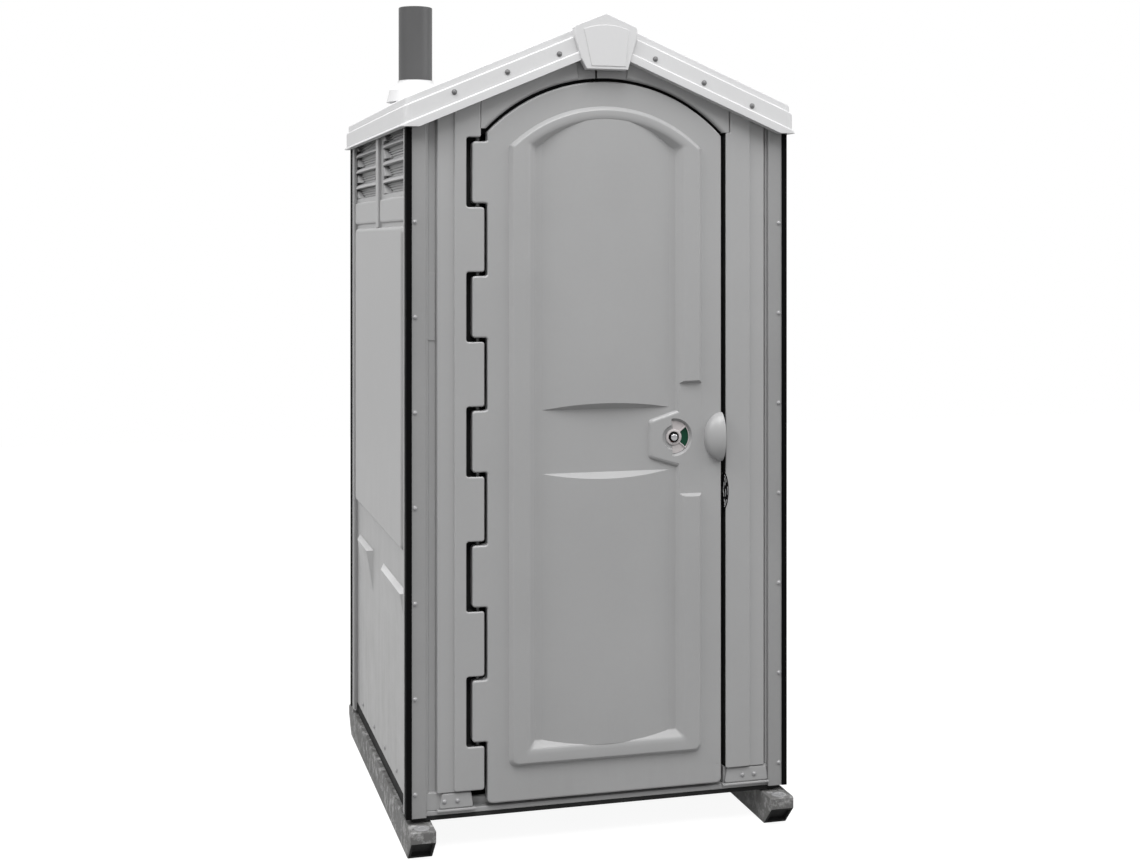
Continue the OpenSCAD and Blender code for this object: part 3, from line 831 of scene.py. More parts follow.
def raised(y0, y1, z0, z1, height, side=0.010, radius=0.012, tilt=0.0):
    """A pressed panel that stands out of a wall, drawn along and up the wall."""
    corners = [(y0, z0, radius), (y1, z0, radius), (y1, z1 + tilt, radius), (y0, z1 - tilt, radius)]
    panel = slab(rounded(corners), -0.004, height)
    return soften(panel, at_depth(height), min(side, height * 0.99))


def ledge(y0, y1, top, height):
    """A pressed ledge that faces up and fades into the wall below, drawn along and up the wall."""
    fade = [(-0.004, top), (0.0, top), (height, top - height * 0.6), (height, top - height * 0.8),
            (height * 0.45, top - 0.05), (0.0, top - 0.13), (-0.004, top - 0.13)]
    bar = slab(fade, y0, y1)
    for v in bar.verts:
        if v.co.x > TINY:
            v.co.z += 0.045 if v.co.z < (y0 + y1) / 2 else -0.045
    soften(bar, lambda e: all(v.co.x > height - TINY for v in e.verts), height * 0.09, 2)
    return placed(bar, reordered("zyx"))


def wall_relief(width_lo, width_hi):
    """The pressed panels that the side and back walls share, drawn along and up a wall."""
    rise = bpy.context.scene.cabin_sizes.panel_rise
    vent_sill, rib = VENT_LO.z, 0.033
    return [
        raised(width_lo + 0.040, -rib - 0.012, vent_sill - 0.085, vent_sill - 0.013, rise * 0.8),
        raised(rib - 0.021, width_hi - 0.030, vent_sill - 0.085, vent_sill - 0.013, rise * 0.8),
        raised(width_lo + 0.080, width_hi - 0.070, vent_sill - 1.000, vent_sill - 0.098, rise * 1.4, 0.012,
               0.020),
        ledge(width_lo + 0.045, -0.071, vent_sill - LEDGE_DROP, rise * 1.6),
        ledge(0.139, width_hi - 0.095, vent_sill - LEDGE_DROP, rise * 1.6),
    ]


def side_wall():
    """The right wall with its two vents cut through and its pressed panels."""
    ends = (SILL_LO.y, BACK_IN)
    panel = slab([(ends[0], WALL_FOOT), (ends[1], WALL_FOOT), (ends[1], ROOF_HI.z), (ends[0], ROOF_HI.z)],
                 WALL_IN - WALL_OUT, 0)
    cuts = [box(y0, y1, VENT_LO.z, VENT_HI.z + 0.045, -0.1, 0.1) for y0, y1 in VENT_SPANS.values()]
    panel = combined(panel, cuts)
    rib = raised(-0.024, 0.024, VENT_LO.z - 0.1, VENT_HI.z + 0.05, 0.010, 0.006, 0.004)
    whole = joined(panel, rib, *wall_relief(-0.560, 0.535))
    placed(whole, facing("right", WALL_OUT))
    under_roof(whole)
    # Painted highlight: the up-facing tops of the pressed ledges take the lighter second finish.
    for face in whole.faces:
        if face.normal.z > 0.5 and abs(face.calc_center_median().z - VENT_LO.z + LEDGE_DROP) < 0.02:
            face.material_index = 1
    return whole


def rear_wall():
    """The back wall, pressed like the sides but with no vents."""
    panel = slab([(-WALL_OUT, WALL_FOOT), (WALL_OUT, WALL_FOOT), (WALL_OUT, ROOF_HI.z),
                  (-WALL_OUT, ROOF_HI.z)],
                 BACK_IN - BACK_OUT, 0)
    band = raised(-0.470, 0.470, VENT_LO.z + 0.010, VENT_HI.z - 0.020, 0.006, 0.006)
    whole = joined(panel, band, *wall_relief(-0.530, 0.530))
    placed(whole, facing("back", BACK_OUT))
    return under_roof(whole)


def corner_flange():
    """The grey flange behind the trim of the front right corner."""
    low, high = FLANGE_LO, FLANGE_HI
    thick = high.x - WALL_OUT
    edge = bpy.context.scene.cabin_sizes.corner_round
    plan = [(low.x, low.y, edge), (high.x, low.y, 0.001), (high.x, high.y, edge), (WALL_OUT, high.y, 0.001),
            (WALL_OUT, low.y + thick, 0), (low.x, low.y + thick, 0.001)]
    return under_roof(slab(rounded(plan, 3), low.z, ROOF_HI.z))


def corner_trim():
    """The black angle on the front right corner."""
    low, high = TRIM_LO, TRIM_HI
    sheet = high.x - FLANGE_HI.x
    plan = [(low.x, low.y, 0.001), (high.x, low.y, 0.0025), (high.x, high.y, 0.001),
            (high.x - sheet, high.y, 0),
            (high.x - sheet, low.y + sheet, 0), (low.x, low.y + sheet, 0)]
    return under_roof(slab(rounded(plan, 3), low.z, ROOF_HI.z))


# ---------------------------------------------------------------- door frame


def arch_centre():
    """Middle of the leaf and height of the arch's centre."""
    door = bpy.context.scene.door_sizes
    left = AXIS.x + door.hinge_reach
    return (left + LEAF_HI.x) / 2, LEAF_HI.z - door.arch_radius


def leaf_fingers():
    """Lower and upper ends of the leaf's fingers, from the top down."""
    door = bpy.context.scene.door_sizes
    middles = [door.finger_top - k * door.finger_pitch for k in range(door.finger_count)]
    return [(z - door.finger_height / 2, z + door.finger_height / 2) for z in middles]


def post_bands(edge, step, outer):
    """Plan of the bands beside a post's face, on the right: mid band, recess and the lip behind the leaf."""
    flange = FLANGE_LO.x
    band, recess = FRONT + 0.006, FRONT + 0.025
    lip = LEAF_BACK + 0.006
    plan = [(edge, band, 0), (step, band, 0), (outer, band, 0.0035), (outer + 0.003, recess, 0.002),
            (flange - 0.0075, recess, 0.002), (flange - 0.006, SILL_LO.y, 0.002), (WALL_IN, SILL_LO.y, 0),
            (WALL_IN, POST_HI.y, 0), (POST_LO.x, POST_HI.y, 0), (POST_LO.x, lip, 0), (edge, lip, 0)]
    return rounded(plan, 3)


def painted_gap_shade(bm, deep, x0, x1):
    """Marks the faces that lie deep in a gap between two places across the front for the near-black second
    finish, painted shade in the gap.
    """
    for face in bm.faces:
        middle = face.calc_center_median()
        if middle.y > FRONT + deep and x0 < middle.x < x1:
            face.material_index = 1
    return bm


def hinge_jamb():
    """The hinge post: a face plate with fingers between the leaf's, its bands and the lip behind."""
    door = bpy.context.scene.door_sizes
    face, edge, tip = -0.4225, HINGE_EDGE, AXIS.x + KNUCKLE
    seam, bend = HEADER_LEFT + 0.0015, 0.007
    corners = [(face, POST_FOOT, bend)]
    level = POST_FOOT
    for low, high in reversed(leaf_fingers()):
        corners += [(tip, level, bend), (tip, low - door.finger_gap, bend),
                    (edge, low - door.finger_gap, bend)]
        level = high + door.finger_gap
        corners.append((edge, level, bend))
    corners += [(seam, level, bend), (seam, gable(seam) + 0.02, 0), (face, gable(face) + 0.02, 0)]
    plate = slab(rounded(corners), LEAF_BACK - FRONT - 0.068, 0)
    soften(plate, at_depth(0), 0.0045)
    placed(plate, ON_FRONT)
    bands = slab(post_bands(0.395, 0.4205, 0.468), POST_FOOT, ROOF_HI.z)
    insert = box(0.4715, 0.4910, FRONT + 0.0225, FRONT + 0.028, 1.403, 1.588)
    bands = joined(bands, soften(insert, lambda e: True, 0.001, 2))
    # Drawn on the right, like the bands of the latch post
    mirrored(bands, "x")
    # Painted shade: faces more than 10 mm behind the front in the finger gaps take the near-black second
    # finish.
    return painted_gap_shade(joined(under_roof(plate), under_roof(bands)), 0.010, edge - 0.012, -0.30)


def keeper_lens():
    """Edge of the latch post, middle height, radius and depth of the lens cut for the keeper."""
    deep, half = 0.009, (KEEPER_HI.z - KEEPER_LO.z) / 2
    return KEEPER_HI.x, (KEEPER_LO.z + KEEPER_HI.z) / 2, (half**2 + deep**2) / (2 * deep), deep


def latch_jamb():
    """The latch post: a face plate notched for the header and the keeper, its bands and the lip behind."""
    edge, middle, radius, deep = keeper_lens()
    face, foot = edge + 0.0745, HEADER_FOOT
    corners = [(edge, POST_FOOT, 0.006), (face, POST_FOOT, 0.006), (face, gable(face) + 0.02, 0),
               (HEADER_RIGHT + 0.0015, gable(HEADER_RIGHT) + 0.02, 0), (HEADER_RIGHT + 0.0015, foot, 0.003),
               (edge, foot, 0.008)]
    plate = slab(rounded(corners), -0.034, 0)
    soften(plate, at_depth(0), 0.0045)
    lens = slab(arc(edge - radius + deep, middle, radius, -25, 25, 24) + [(edge - 0.02, middle)], -0.030,
                0.01)
    plate = combined(plate, [lens])
    placed(plate, ON_FRONT)
    bands = slab(post_bands(edge + 0.004, edge + 0.0725, edge + 0.119), POST_FOOT, ROOF_HI.z)
    # Painted shade: faces more than 10 mm behind the front in the gap beside the leaf take the near-black
    # second finish.
    return painted_gap_shade(joined(under_roof(plate), under_roof(bands)), 0.010, 0.33, edge + 0.005)


def header(side):
    """The left or right half of the header, arched over the leaf, with a shallow bay under the keystone."""
    door = bpy.context.scene.door_sizes
    mid, centre = arch_centre()
    foot = HEADER_FOOT
    arch_r = door.arch_radius + door.arch_gap
    reach = math.sqrt(arch_r**2 - (foot - centre) ** 2)
    split = HEADER_SPLIT if side < 0 else SPLIT_RIGHT
    outer = HEADER_LEFT + 0.0015 if side < 0 else HEADER_RIGHT - 0.0015
    split_angle = math.degrees(math.acos((split - mid) / arch_r))
    foot_angle = math.degrees(math.acos(side * reach / arch_r))
    curve = arc(mid, centre, arch_r, foot_angle, split_angle, 40)
    outline = [(outer, foot), *curve, (split, gable(split) + 0.02), (outer, gable(outer) + 0.02)]
    plate = slab(outline, -0.040, 0)

    def front_edge(test):
        return lambda e: at_depth(0)(e) and all(test(v.co) for v in e.verts)

    soften(plate, front_edge(lambda c: abs(math.hypot(c.x - mid, c.y - centre) - arch_r) < NEAR), 0.011, 4)
    soften(plate, front_edge(lambda c: c.x * side > outer * side - 0.002), 0.003)
    soften(plate, front_edge(lambda c: abs(c.x - split) < NEAR), 0.004)
    bay = slab(rounded([(-0.062, 2.05, 0), (0.066, 2.05, 0), (0.080, 2.24, 0), (-0.084, 2.24, 0)]), -0.006,
               0.02)
    soften(bay, at_depth(-0.006), 0.005)
    plate = combined(plate, [bay])
    lip_r = door.arch_radius - 0.014
    lip_curve = arc(mid, centre, lip_r, math.degrees(math.acos(side * 0.325 / lip_r)), split_angle, 30)
    lip = slab([(outer, lip_curve[0][1]), *lip_curve, (split, gable(split) + 0.02),
                (outer, gable(outer) + 0.02)],
               FRONT - HEADER_BACK, -0.0395)
    whole = under_roof(placed(joined(plate, lip), ON_FRONT))
    # Painted shade: faces more than 12 mm behind the front, in the arch gap and behind it, take the
    # near-black second finish.
    return painted_gap_shade(whole, 0.012, -1, 1)


def keeper():
    """The black keeper in the latch post, whose black cup also fills the lens cut as painted shade for the
    dark cavity.
    """
    edge, middle, radius, deep = keeper_lens()
    back = KEEPER_LO.x - edge
    outline = arc(edge - radius + deep - 0.0004, middle, radius, -18, 18, 24)
    outline = [p for p in outline if p[0] > edge - 0.001]
    cup = slab([*outline, (edge + back, outline[-1][1]), (edge + back, outline[0][1])], -0.028, -0.0012)
    return placed(cup, ON_FRONT)


def keeper_wires():
    """Bent wires of the catch, each a thin rod bowed out of the keeper."""
    parts = []
    middle = (KEEPER_LO.z + KEEPER_HI.z) / 2
    half = (KEEPER_HI.z - KEEPER_LO.z) / 2
    lift = -0.001
    for k, (bow, share) in enumerate(((0.0100, 0.92), (0.0035, 0.8), (-0.003, 0.6))):
        bm = bmesh.new()
        steps = 14
        ring = bmesh.ops.create_circle(bm, cap_ends=False, radius=0.0009, segments=8)["verts"]
        start = (KEEPER_HI.x - 0.004, middle - half * share, lift)
        bmesh.ops.rotate(bm, verts=ring, cent=(0, 0, 0), matrix=Matrix.Rotation(math.pi / 2, 3, "X"))
        bmesh.ops.translate(bm, verts=ring, vec=start)
        rim = bm.edges[:]
        bmesh.ops.holes_fill(bm, edges=rim, sides=0)
        here = start
        for n in range(1, steps + 1):
            t = n / steps
            there = (start[0] + bow * math.sin(math.pi * t), start[1] + 2 * half * share * t,
                     lift + 0.002 * math.sin(5 * math.pi * t + k))
            grown = bmesh.ops.extrude_edge_only(bm, edges=rim)["geom"]
            rim = only(grown, bmesh.types.BMEdge)
            step = Vector(there) - Vector(here)
            bmesh.ops.translate(bm, verts=only(grown, bmesh.types.BMVert), vec=step)
            here = there
        bmesh.ops.holes_fill(bm, edges=rim, sides=0)
        parts.append(placed(bm, ON_FRONT))
    return joined(*parts)


# ---------------------------------------------------------------- roof


def gable_band(low, high, reach, half):
    """A layer of the roof between two drops below its slopes, with rounded upright corners."""
    roof = bpy.context.scene.roof_sizes
    slope = math.tan(roof.pitch)
    eave = ROOF_LO.z
    points = []
    for side in (1, -1):
        foot = max(gable(half, low), eave)
        flat = (roof.peak - low - eave) / slope
        run = [(0, gable(0, low))]
        if flat < half:
            run += [(flat, eave)]
        run += [(half, foot), (half, gable(half, high)), (0, gable(0, high))]
        points += run[:-1] if side > 0 else [(-x, z) for x, z in reversed(run[1:])]
    layer = slab(points, -reach, reach)

    def upright(e):
        a, b = (v.co for v in e.verts)
        return abs(a.x - b.x) < TINY and abs(abs(a.x) - half) < TINY and abs(a.z - b.z) < TINY

    def rim(e):
        on_top = all(abs(v.co.y - gable(v.co.x, high)) < TINY for v in e.verts)
        return on_top and any(abs(v.co.x) > TINY for v in e.verts)

    soften(layer, upright, 0.022, 4)
    soften(layer, rim, 0.0045)
    return placed(layer, ALONG_RIDGE)


def keystone():
    """The block at the end of the ridge cap, with a pad that has an arched top, at the front."""
    half, tab, low = bpy.context.scene.roof_sizes.cap_half, 0.058, 2.152
    shoulder = gable(half)
    peak = ROOF_HI.z
    block = [(-tab + 0.003, low, 0.003), (tab + 0.006, low, 0.003), (tab + 0.015, low + 0.030, 0.004),
             (half, shoulder - 0.020, 0.012), (half, shoulder + 0.008, 0.010), (0, peak - 0.001, 0.012),
             (-half, shoulder + 0.008, 0.010), (-half, shoulder - 0.020, 0.012),
             (-tab - 0.014, low + 0.030, 0.004)]
    depth = -ROOF_LO.y - HALF_D
    body = slab(rounded(block), 0.010, depth - 0.0015)
    soften(body, at_depth(depth - 0.0015), 0.008, 4)
    pad_r = 0.175
    top = arc(0.001, peak - 0.034 - pad_r, pad_r, 68, 112, 12)
    pad = slab([(-tab + 0.016, low + 0.009), (tab - 0.001, low + 0.009), *top], 0.012, depth)
    soften(pad, at_depth(depth), 0.0014, 3)
    return placed(joined(body, pad), ON_FRONT)


def roof_shell():
    """The white roof: three stepped layers, a ridge cap and a keystone at each end, hollow over the cabin."""
    roof = bpy.context.scene.roof_sizes
    reach, half = HALF_D + 0.031, ROOF_HI.x
    lower = gable_band(roof.band, roof.band - 0.026, reach, half)
    middle = gable_band(roof.band - 0.022, 0.021, reach - 0.006, half - 0.006)
    upper = gable_band(0.030, 0.0, reach - 0.013, half - 0.012)
    layers = combined(lower, [middle, upper], "UNION")
    rise = ROOF_HI.z - roof.peak
    wide, rest = roof.cap_half, gable(roof.cap_half)
    cap_end = [(-wide, rest - 0.004), (wide, rest - 0.004), (wide, rest + rise - 0.001),
               (0, ROOF_HI.z - 0.001),
               (-wide, rest + rise - 0.001)]
    cap = slab(cap_end, -reach + 0.004, reach - 0.004)
    soften(cap, lambda e: abs(e.verts[0].co.z - e.verts[1].co.z) > 0.1 and e.verts[0].co.y > rest, 0.006)
    placed(cap, ALONG_RIDGE)
    inside = HALF_W - 0.001
    room = slab([(-inside, 1.8), (inside, 1.8), (inside, gable(inside, roof.sheet)),
                 (0, gable(0, roof.sheet)),
                 (-inside, gable(inside, roof.sheet))], -HALF_D + 0.001, HALF_D - 0.001)
    placed(room, ALONG_RIDGE)
    bore = [(0.0, 1.9), (PIPE_R + 0.008, 1.9), (PIPE_R + 0.008, 2.5), (0.0, 2.5)]
    pipe = lathe(bore, (PIPE.x, PIPE.y, 0), UP, 48)
    layers = combined(layers, [room, pipe])
    stones = [keystone(), mirrored(keystone(), "y")]
    return joined(layers, cap, *stones)


def collar():
    """The flared collar that carries the vent pipe."""
    foot = gable(PIPE.x + PIPE_R + 0.03, 0.02)
    inner = PIPE_R - 0.0006
    profile = [(inner, foot - 0.03), (PIPE_R + 0.040, foot - 0.03), (PIPE_R + 0.036, foot - 0.012)]
    profile += [(PIPE_R + 0.003 + 0.028 * (1 - t) ** 2, foot + 0.010 + (COLLAR_TOP - foot - 0.012) * t)
                for t in (0.0, 0.2, 0.4, 0.6, 0.8, 0.95)]
    profile += [(PIPE_R + 0.003, COLLAR_TOP), (inner, COLLAR_TOP), (inner, foot - 0.03)]
    return lathe(profile, (PIPE.x, PIPE.y, 0), UP, 64)


def vent_stack():
    """The vent pipe, open at both ends, with a rolled rim."""
    wall = 0.004
    profile = [(PIPE_R - wall, PIPE_LO.z), (PIPE_R - 0.001, PIPE_LO.z), (PIPE_R, COLLAR_TOP),
               (PIPE_R, PIPE_HI.z - 0.002),
               (PIPE_R - 0.001, PIPE_HI.z), (PIPE_R - wall + 0.001, PIPE_HI.z),
               (PIPE_R - wall, PIPE_HI.z - 0.002),
               (PIPE_R - wall, PIPE_LO.z)]
    return lathe(profile, (PIPE.x, PIPE.y, 0), UP, 64)


# ---------------------------------------------------------------- door


def leaf_edge():
    """Outline of the leaf with its arch and hinge fingers."""
    door = bpy.context.scene.door_sizes
    mid, centre = arch_centre()
    left, right, foot = AXIS.x + door.hinge_reach, LEAF_HI.x, LEAF_LO.z
    spring = math.degrees(math.acos((right - mid) / door.arch_radius))
    corners = [(left, foot, 0.014), (right, foot, 0.014)]
    corners += [(x, y, 0) for x, y in arc(mid, centre, door.arch_radius, spring, 180 - spring, 64)]
    for low, high in leaf_fingers():
        corners += [(left, high, 0.006), (LEAF_LO.x, high, 0.009), (LEAF_LO.x, low, 0.009),
                    (left, low, 0.006)]
    return rounded(corners)


def arch_loop(bm, sides, arch, foot, corner, depth):
    """A ring of edges round the moulding, set in from its outline at the sides, the arch and the foot."""
    door = bpy.context.scene.door_sizes
    mid, centre = arch_centre()
    left, right = AXIS.x + door.hinge_reach + door.mould_inset, LEAF_HI.x - door.mould_inset
    radius = door.arch_radius - 0.070 - arch
    x0, x1, z0 = left + sides, right - sides, LEAF_LO.z + 0.096 + foot
    angle = math.degrees(math.acos((x1 - mid) / radius))
    ends = arc(x0 + corner, z0 + corner, corner, 180, 270, 6)
    ends += arc(x1 - corner, z0 + corner, corner, 270, 360, 6)
    points = ends + arc(mid, centre, radius, angle, 180 - angle, 48)
    verts = [bm.verts.new((x, z, depth)) for x, z in points]
    return [bm.edges.new(pair) for pair in zip(verts, verts[1:] + verts[:1])]


def arch_solid(sides, arch, foot, depth, rise):
    """A solid over a ring round the moulding, from a depth up."""
    bm = bmesh.new()
    bmesh.ops.holes_fill(bm, edges=arch_loop(bm, sides, arch, foot, 0.020, depth), sides=0)
    return thickened(bm, rise)


def moulding():
    """The raised frame round the panels with its sunk floor, its stile cut away beside the lock."""
    bm = bmesh.new()
    steps = [
        (0.003, 0.003, 0.003, 0.020, -0.021),
        (0.0, 0.0, 0.0, 0.022, -0.002),
        (0.0, 0.0, 0.0, 0.022, 0.0002),
        (0.008, 0.008, 0.008, 0.018, 0.0095),
        (0.0102, 0.0102, 0.0102, 0.017, 0.0115),
        (0.013, 0.013, 0.013, 0.016, 0.012),
        (0.043, 0.024, 0.033, 0.011, 0.0118),
        (0.053, 0.032, 0.043, 0.009, 0.0106),
        (0.060, 0.038, 0.050, 0.007, 0.0080),
        (0.074, 0.052, 0.065, 0.004, -0.0065),
        (0.078, 0.056, 0.069, 0.003, -0.008),
    ]
    loops = [arch_loop(bm, *step) for step in steps]
    for near, far in zip(loops, loops[1:]):
        bmesh.ops.bridge_loops(bm, edges=near + far)
    bmesh.ops.holes_fill(bm, edges=loops[0], sides=0)
    bmesh.ops.holes_fill(bm, edges=loops[-1], sides=0)
    bmesh.ops.recalc_face_normals(bm, faces=bm.faces[:])
    right = LEAF_HI.x - bpy.context.scene.door_sizes.mould_inset
    level, lean = 0.0005, 0.7
    low, high, far = LOCK.z - 0.160, LOCK.z + 0.153, 0.03
    cut = slab([(low, level), (high, level), (high + lean * far, level + far),
                (low - lean * far, level + far)],
               right - 0.078, right + 0.01)
    placed(cut, reordered("zxy"))
    bm = combined(bm, [cut])
    x, z = LOCK.x, LOCK.z
    boss = slab(rounded([(x - 0.079, z - 0.060, 0.015), (x + 0.051, z - 0.101, 0), (x + 0.051, z + 0.0925, 0),
                         (x - 0.079, z + 0.052, 0.015)], 6), -0.012, level)
    top = [v for v in boss.verts if abs(v.co.z - level) < TINY]
    taper = Matrix.Diagonal((0.90, 0.90, 1, 1))
    bmesh.ops.transform(boss, matrix=taper, space=Matrix.Translation((-x - 0.030, -z, 0)), verts=top)
    soften(boss, at_depth(level), 0.0055, 4)
    bm = combined(bm, [boss], "UNION")
    return placed(combined(bm, [lock_recess(), *lock_well()]), ON_FRONT)


def lock_peg(radius, low, high):
    """A round peg on the lock's axis."""
    return slab(arc(LOCK.x, LOCK.z, radius, 0, 345, 23), low, high)


def lock_recess():
    """The sunk shape round the lock's axis: a large lobe on the right and a small one on the left."""
    large, small, depth = 0.056, 0.037, -0.0085
    ends = arc(0, 0, large, -97, 100, 28)
    back = arc(0, 0, small, 101, 262, 20)
    corners = [(x, y, 0) for x, y in ends + back]
    for index in (0, len(ends) - 1, len(ends), len(corners) - 1):
        corners[index] = (*corners[index][:2], 0.003)
    bm = slab(rounded(corners, 3), depth, 0.004)
    low = [v for v in bm.verts if abs(v.co.z - depth) < TINY]
    bmesh.ops.scale(bm, vec=(0.86, 0.86, 1), verts=low)
    bmesh.ops.translate(bm, vec=(LOCK.x, LOCK.z, 0), verts=bm.verts[:])
    return bm


def lock_well():
    """The round well for the dial and the hole for its spindle."""
    well_r, hole_r = DISC_HI.x - LOCK.x + 0.0028, 0.0145
    floor, roof = FRONT - DISC_HI.y - 0.0052, FRONT - DISC_LO.y + 0.0006
    spot = (LOCK.x, LOCK.z)
    well = slab(arc(*spot, well_r, 0, 352.5, 47), floor, roof)
    hole = lock_peg(hole_r, floor + 0.001, 0.01)
    window = slab(arc(*spot, 0.045, -40, 40, 16) + arc(*spot, 0.0245, 40, -40, 12), floor + 0.001, 0.01)
    return well, hole, window, lock_peg(0.0075, -0.05, 0.01)


def crowned_panel(upper):
    """One of the two crowned panels, its end towards the lock sloped so that it reads as a lens."""
    door = bpy.context.scene.door_sizes
    mid, centre = arch_centre()
    half, base, crown = 0.1855, -0.011, door.crown
    floor = -0.008
    low, high = LOCK.z - 0.091, LOCK.z + 0.086
    count = 36
    curve = []
    for k in range(count + 1):
        x = half * (1 - 2 * k / count)
        curve.append((mid + x, floor + crown * (1 - (x / half) ** 2)))
    outline = [(mid - half, base), (mid + half, base), *curve]
    bottom, top = (high, centre + door.arch_radius) if upper else (LEAF_LO.z + 0.096 + 0.046, low)
    bm = slab(outline, bottom, top)
    placed(bm, reordered("xzy"))
    lean = 0.9
    if upper:
        slice_off(bm, (0, high, floor), (0, -1, lean))
        inner = door.arch_radius - 0.070 - 0.036
        reach = math.degrees(math.acos(0.2 / inner))
        shape = [(mid - 0.2, 1.0), (mid + 0.2, 1.0), *arc(mid, centre, inner, reach, 180 - reach, 40)]
        bm = combined(bm, [slab(shape, -0.03, 0.03)], "INTERSECT")
    else:
        slice_off(bm, (0, low, floor), (0, 1, lean))
    return placed(bm, ON_FRONT)


def door_shell():
    """The leaf with its fingers, rounded edges, the opening for the moulding and a sunk field behind."""
    thick = LEAF_BACK - FRONT
    bm = slab(leaf_edge(), -thick, 0)
    soften(bm, at_depth(0), bpy.context.scene.door_sizes.edge_round, 4)
    soften(bm, at_depth(-thick), 0.004)
    opening = arch_solid(0.002, 0.002, 0.002, -0.0215, 0.04)
    field = arch_solid(-0.020, -0.020, -0.040, -0.06, 0.06 - thick + 0.006)
    soften(field, at_depth(-thick + 0.006), 0.005)
    dent = [(0.0, 0.0), (0.0035, 0.0005), (0.0035, 0.004), (0.0, 0.004)]
    cuts = [opening, field, lock_peg(0.0075, -0.05, 0.01), lathe(dent, (0.340, 0.183, -0.0012), UP, 12)]
    return placed(combined(bm, cuts), ON_FRONT)


def pull():
    """The half dome at the free edge that a hand reaches behind."""
    bm = bmesh.new()
    bmesh.ops.create_uvsphere(bm, u_segments=64, v_segments=40, radius=1.0)
    bmesh.ops.scale(bm, vec=(0.0525, 0.040, 0.070), verts=bm.verts[:])
    for normal in ((1, 0, 0), (0, 1, 0)):
        bisect(bm, (0, 0, 0), normal)
    bmesh.ops.recalc_face_normals(bm, faces=bm.faces[:])
    outward = max(bm.faces, key=lambda f: -f.calc_center_median().y)
    if outward.normal.y > 0:
        bmesh.ops.reverse_faces(bm, faces=bm.faces[:])
    bmesh.ops.solidify(bm, geom=bm.faces[:], thickness=0.0035)
    bmesh.ops.translate(bm, vec=(LEAF_HI.x, FRONT + 0.001, LOCK.z - 0.002), verts=bm.verts[:])
    return slice_off(bm, (LEAF_HI.x, 0, 0), (1, 0, 0))


# ---------------------------------------------------------------- lock


def lock_plate():
    """The pale ring and ribs round the screw, over the dial's window."""
    hub = lathe([(0.0150, -0.0095), (0.0225, -0.0095), (0.0225, -0.0050), (0.0205, -0.0035),
                 (0.0165, -0.0035),
                 (0.0150, -0.0050), (0.0150, -0.0095)], (0, 0, 0), UP, 40)
    parts = [hub]
    for start, end in ((42, 97), (-96, -42)):
        sector = slab(arc(0, 0, 0.0465, start, end, 14) + arc(0, 0, 0.020, end, start, 8), -0.0095, -0.0072)
        parts.append(soften(sector, at_depth(-0.0072), 0.0008, 2))
    for angle in (-41, 41):
        rib = slab([(0.019, -0.0018), (0.0475, -0.0018), (0.0475, 0.0018), (0.019, 0.0018)], -0.0095, -0.0045)
        parts.append(placed(soften(rib, at_depth(-0.0045), 0.0009, 2),
                            Matrix.Rotation(math.radians(angle), 4, "Z")))
    parts.append(slab(arc(0, 0, 0.0478, -41, 41, 16) + arc(0, 0, 0.0452, 41, -41, 16), -0.0095, -0.0066))
    whole = joined(*parts)
    bmesh.ops.translate(whole, vec=(LOCK.x, LOCK.z, 0), verts=whole.verts[:])
    return placed(whole, ON_FRONT)


def dial():
    """The dial behind the window, one quarter of it in the colour for a locked door."""
    radius = DISC_HI.x - LOCK.x
    depth = DISC_HI.y - DISC_LO.y
    profile = [(0.0075, 0.0), (radius, 0.0), (radius, depth - 0.0005), (radius - 0.0005, depth),
               (0.0075, depth),
               (0.0075, 0.0)]
    bm = lathe(profile, (LOCK.x, DISC_HI.y, LOCK.z), OUT, 64)
    for face in bm.faces:
        spot = face.calc_center_median() - LOCK
        face.material_index = 1 if -spot.z > abs(spot.x) else 0
    return bm


def lock_screw():
    """The domed screw that carries the dial, in a dark washer."""
    low = FRONT - DISC_LO.y
    dome = [(0.0, 0.0048), (0.0045, 0.0044), (0.0080, 0.0033), (0.0102, 0.0014), (0.0106, -0.001),
            (0.0, -0.001)]
    head = lathe(dome, (LOCK.x, FRONT, LOCK.z), OUT)
    washer = [(0.0, 0.0), (0.0, 0.0005), (0.0105, 0.0004), (0.0112, 0.0008), (0.0122, 0.0006),
              (0.0130, -0.0015),
              (0.0132, low), (0.0, low)]
    ring = lathe(washer, (LOCK.x, FRONT, LOCK.z), OUT, 40)
    for face in ring.faces:
        face.material_index = 1
    return joined(head, ring)


def latch_arm():
    """The arm behind the leaf that turns with the dial, on its spindle."""
    half = (ARM_HI.x - ARM_LO.x) / 2
    low = ARM_LO.z + half
    back = -(ARM_HI.y + HALF_D)
    outline = arc(LOCK.x, low, half, 180, 360, 16) + arc(LOCK.x, LOCK.z, half, 0, 180, 16)
    arm = slab(outline, back, back + 0.010)
    soften(arm, lambda e: at_depth(back)(e) or at_depth(back + 0.010)(e), 0.0025)
    spindle = lock_peg(0.007, back + 0.002, FRONT - DISC_HI.y + 0.001)
    return placed(joined(arm, spindle), ON_FRONT)


# ---------------------------------------------------------------- fasteners


def dome(spot, axis, radius):
    """A round rivet head on a thin washer."""
    profile = [(0.0, 0.55), (0.35, 0.50), (0.62, 0.34), (0.76, 0.12), (1.0, 0.08), (1.0, -0.3), (0.0, -0.3)]
    return lathe([(r * radius, h * radius) for r, h in profile], spot, axis, 16)


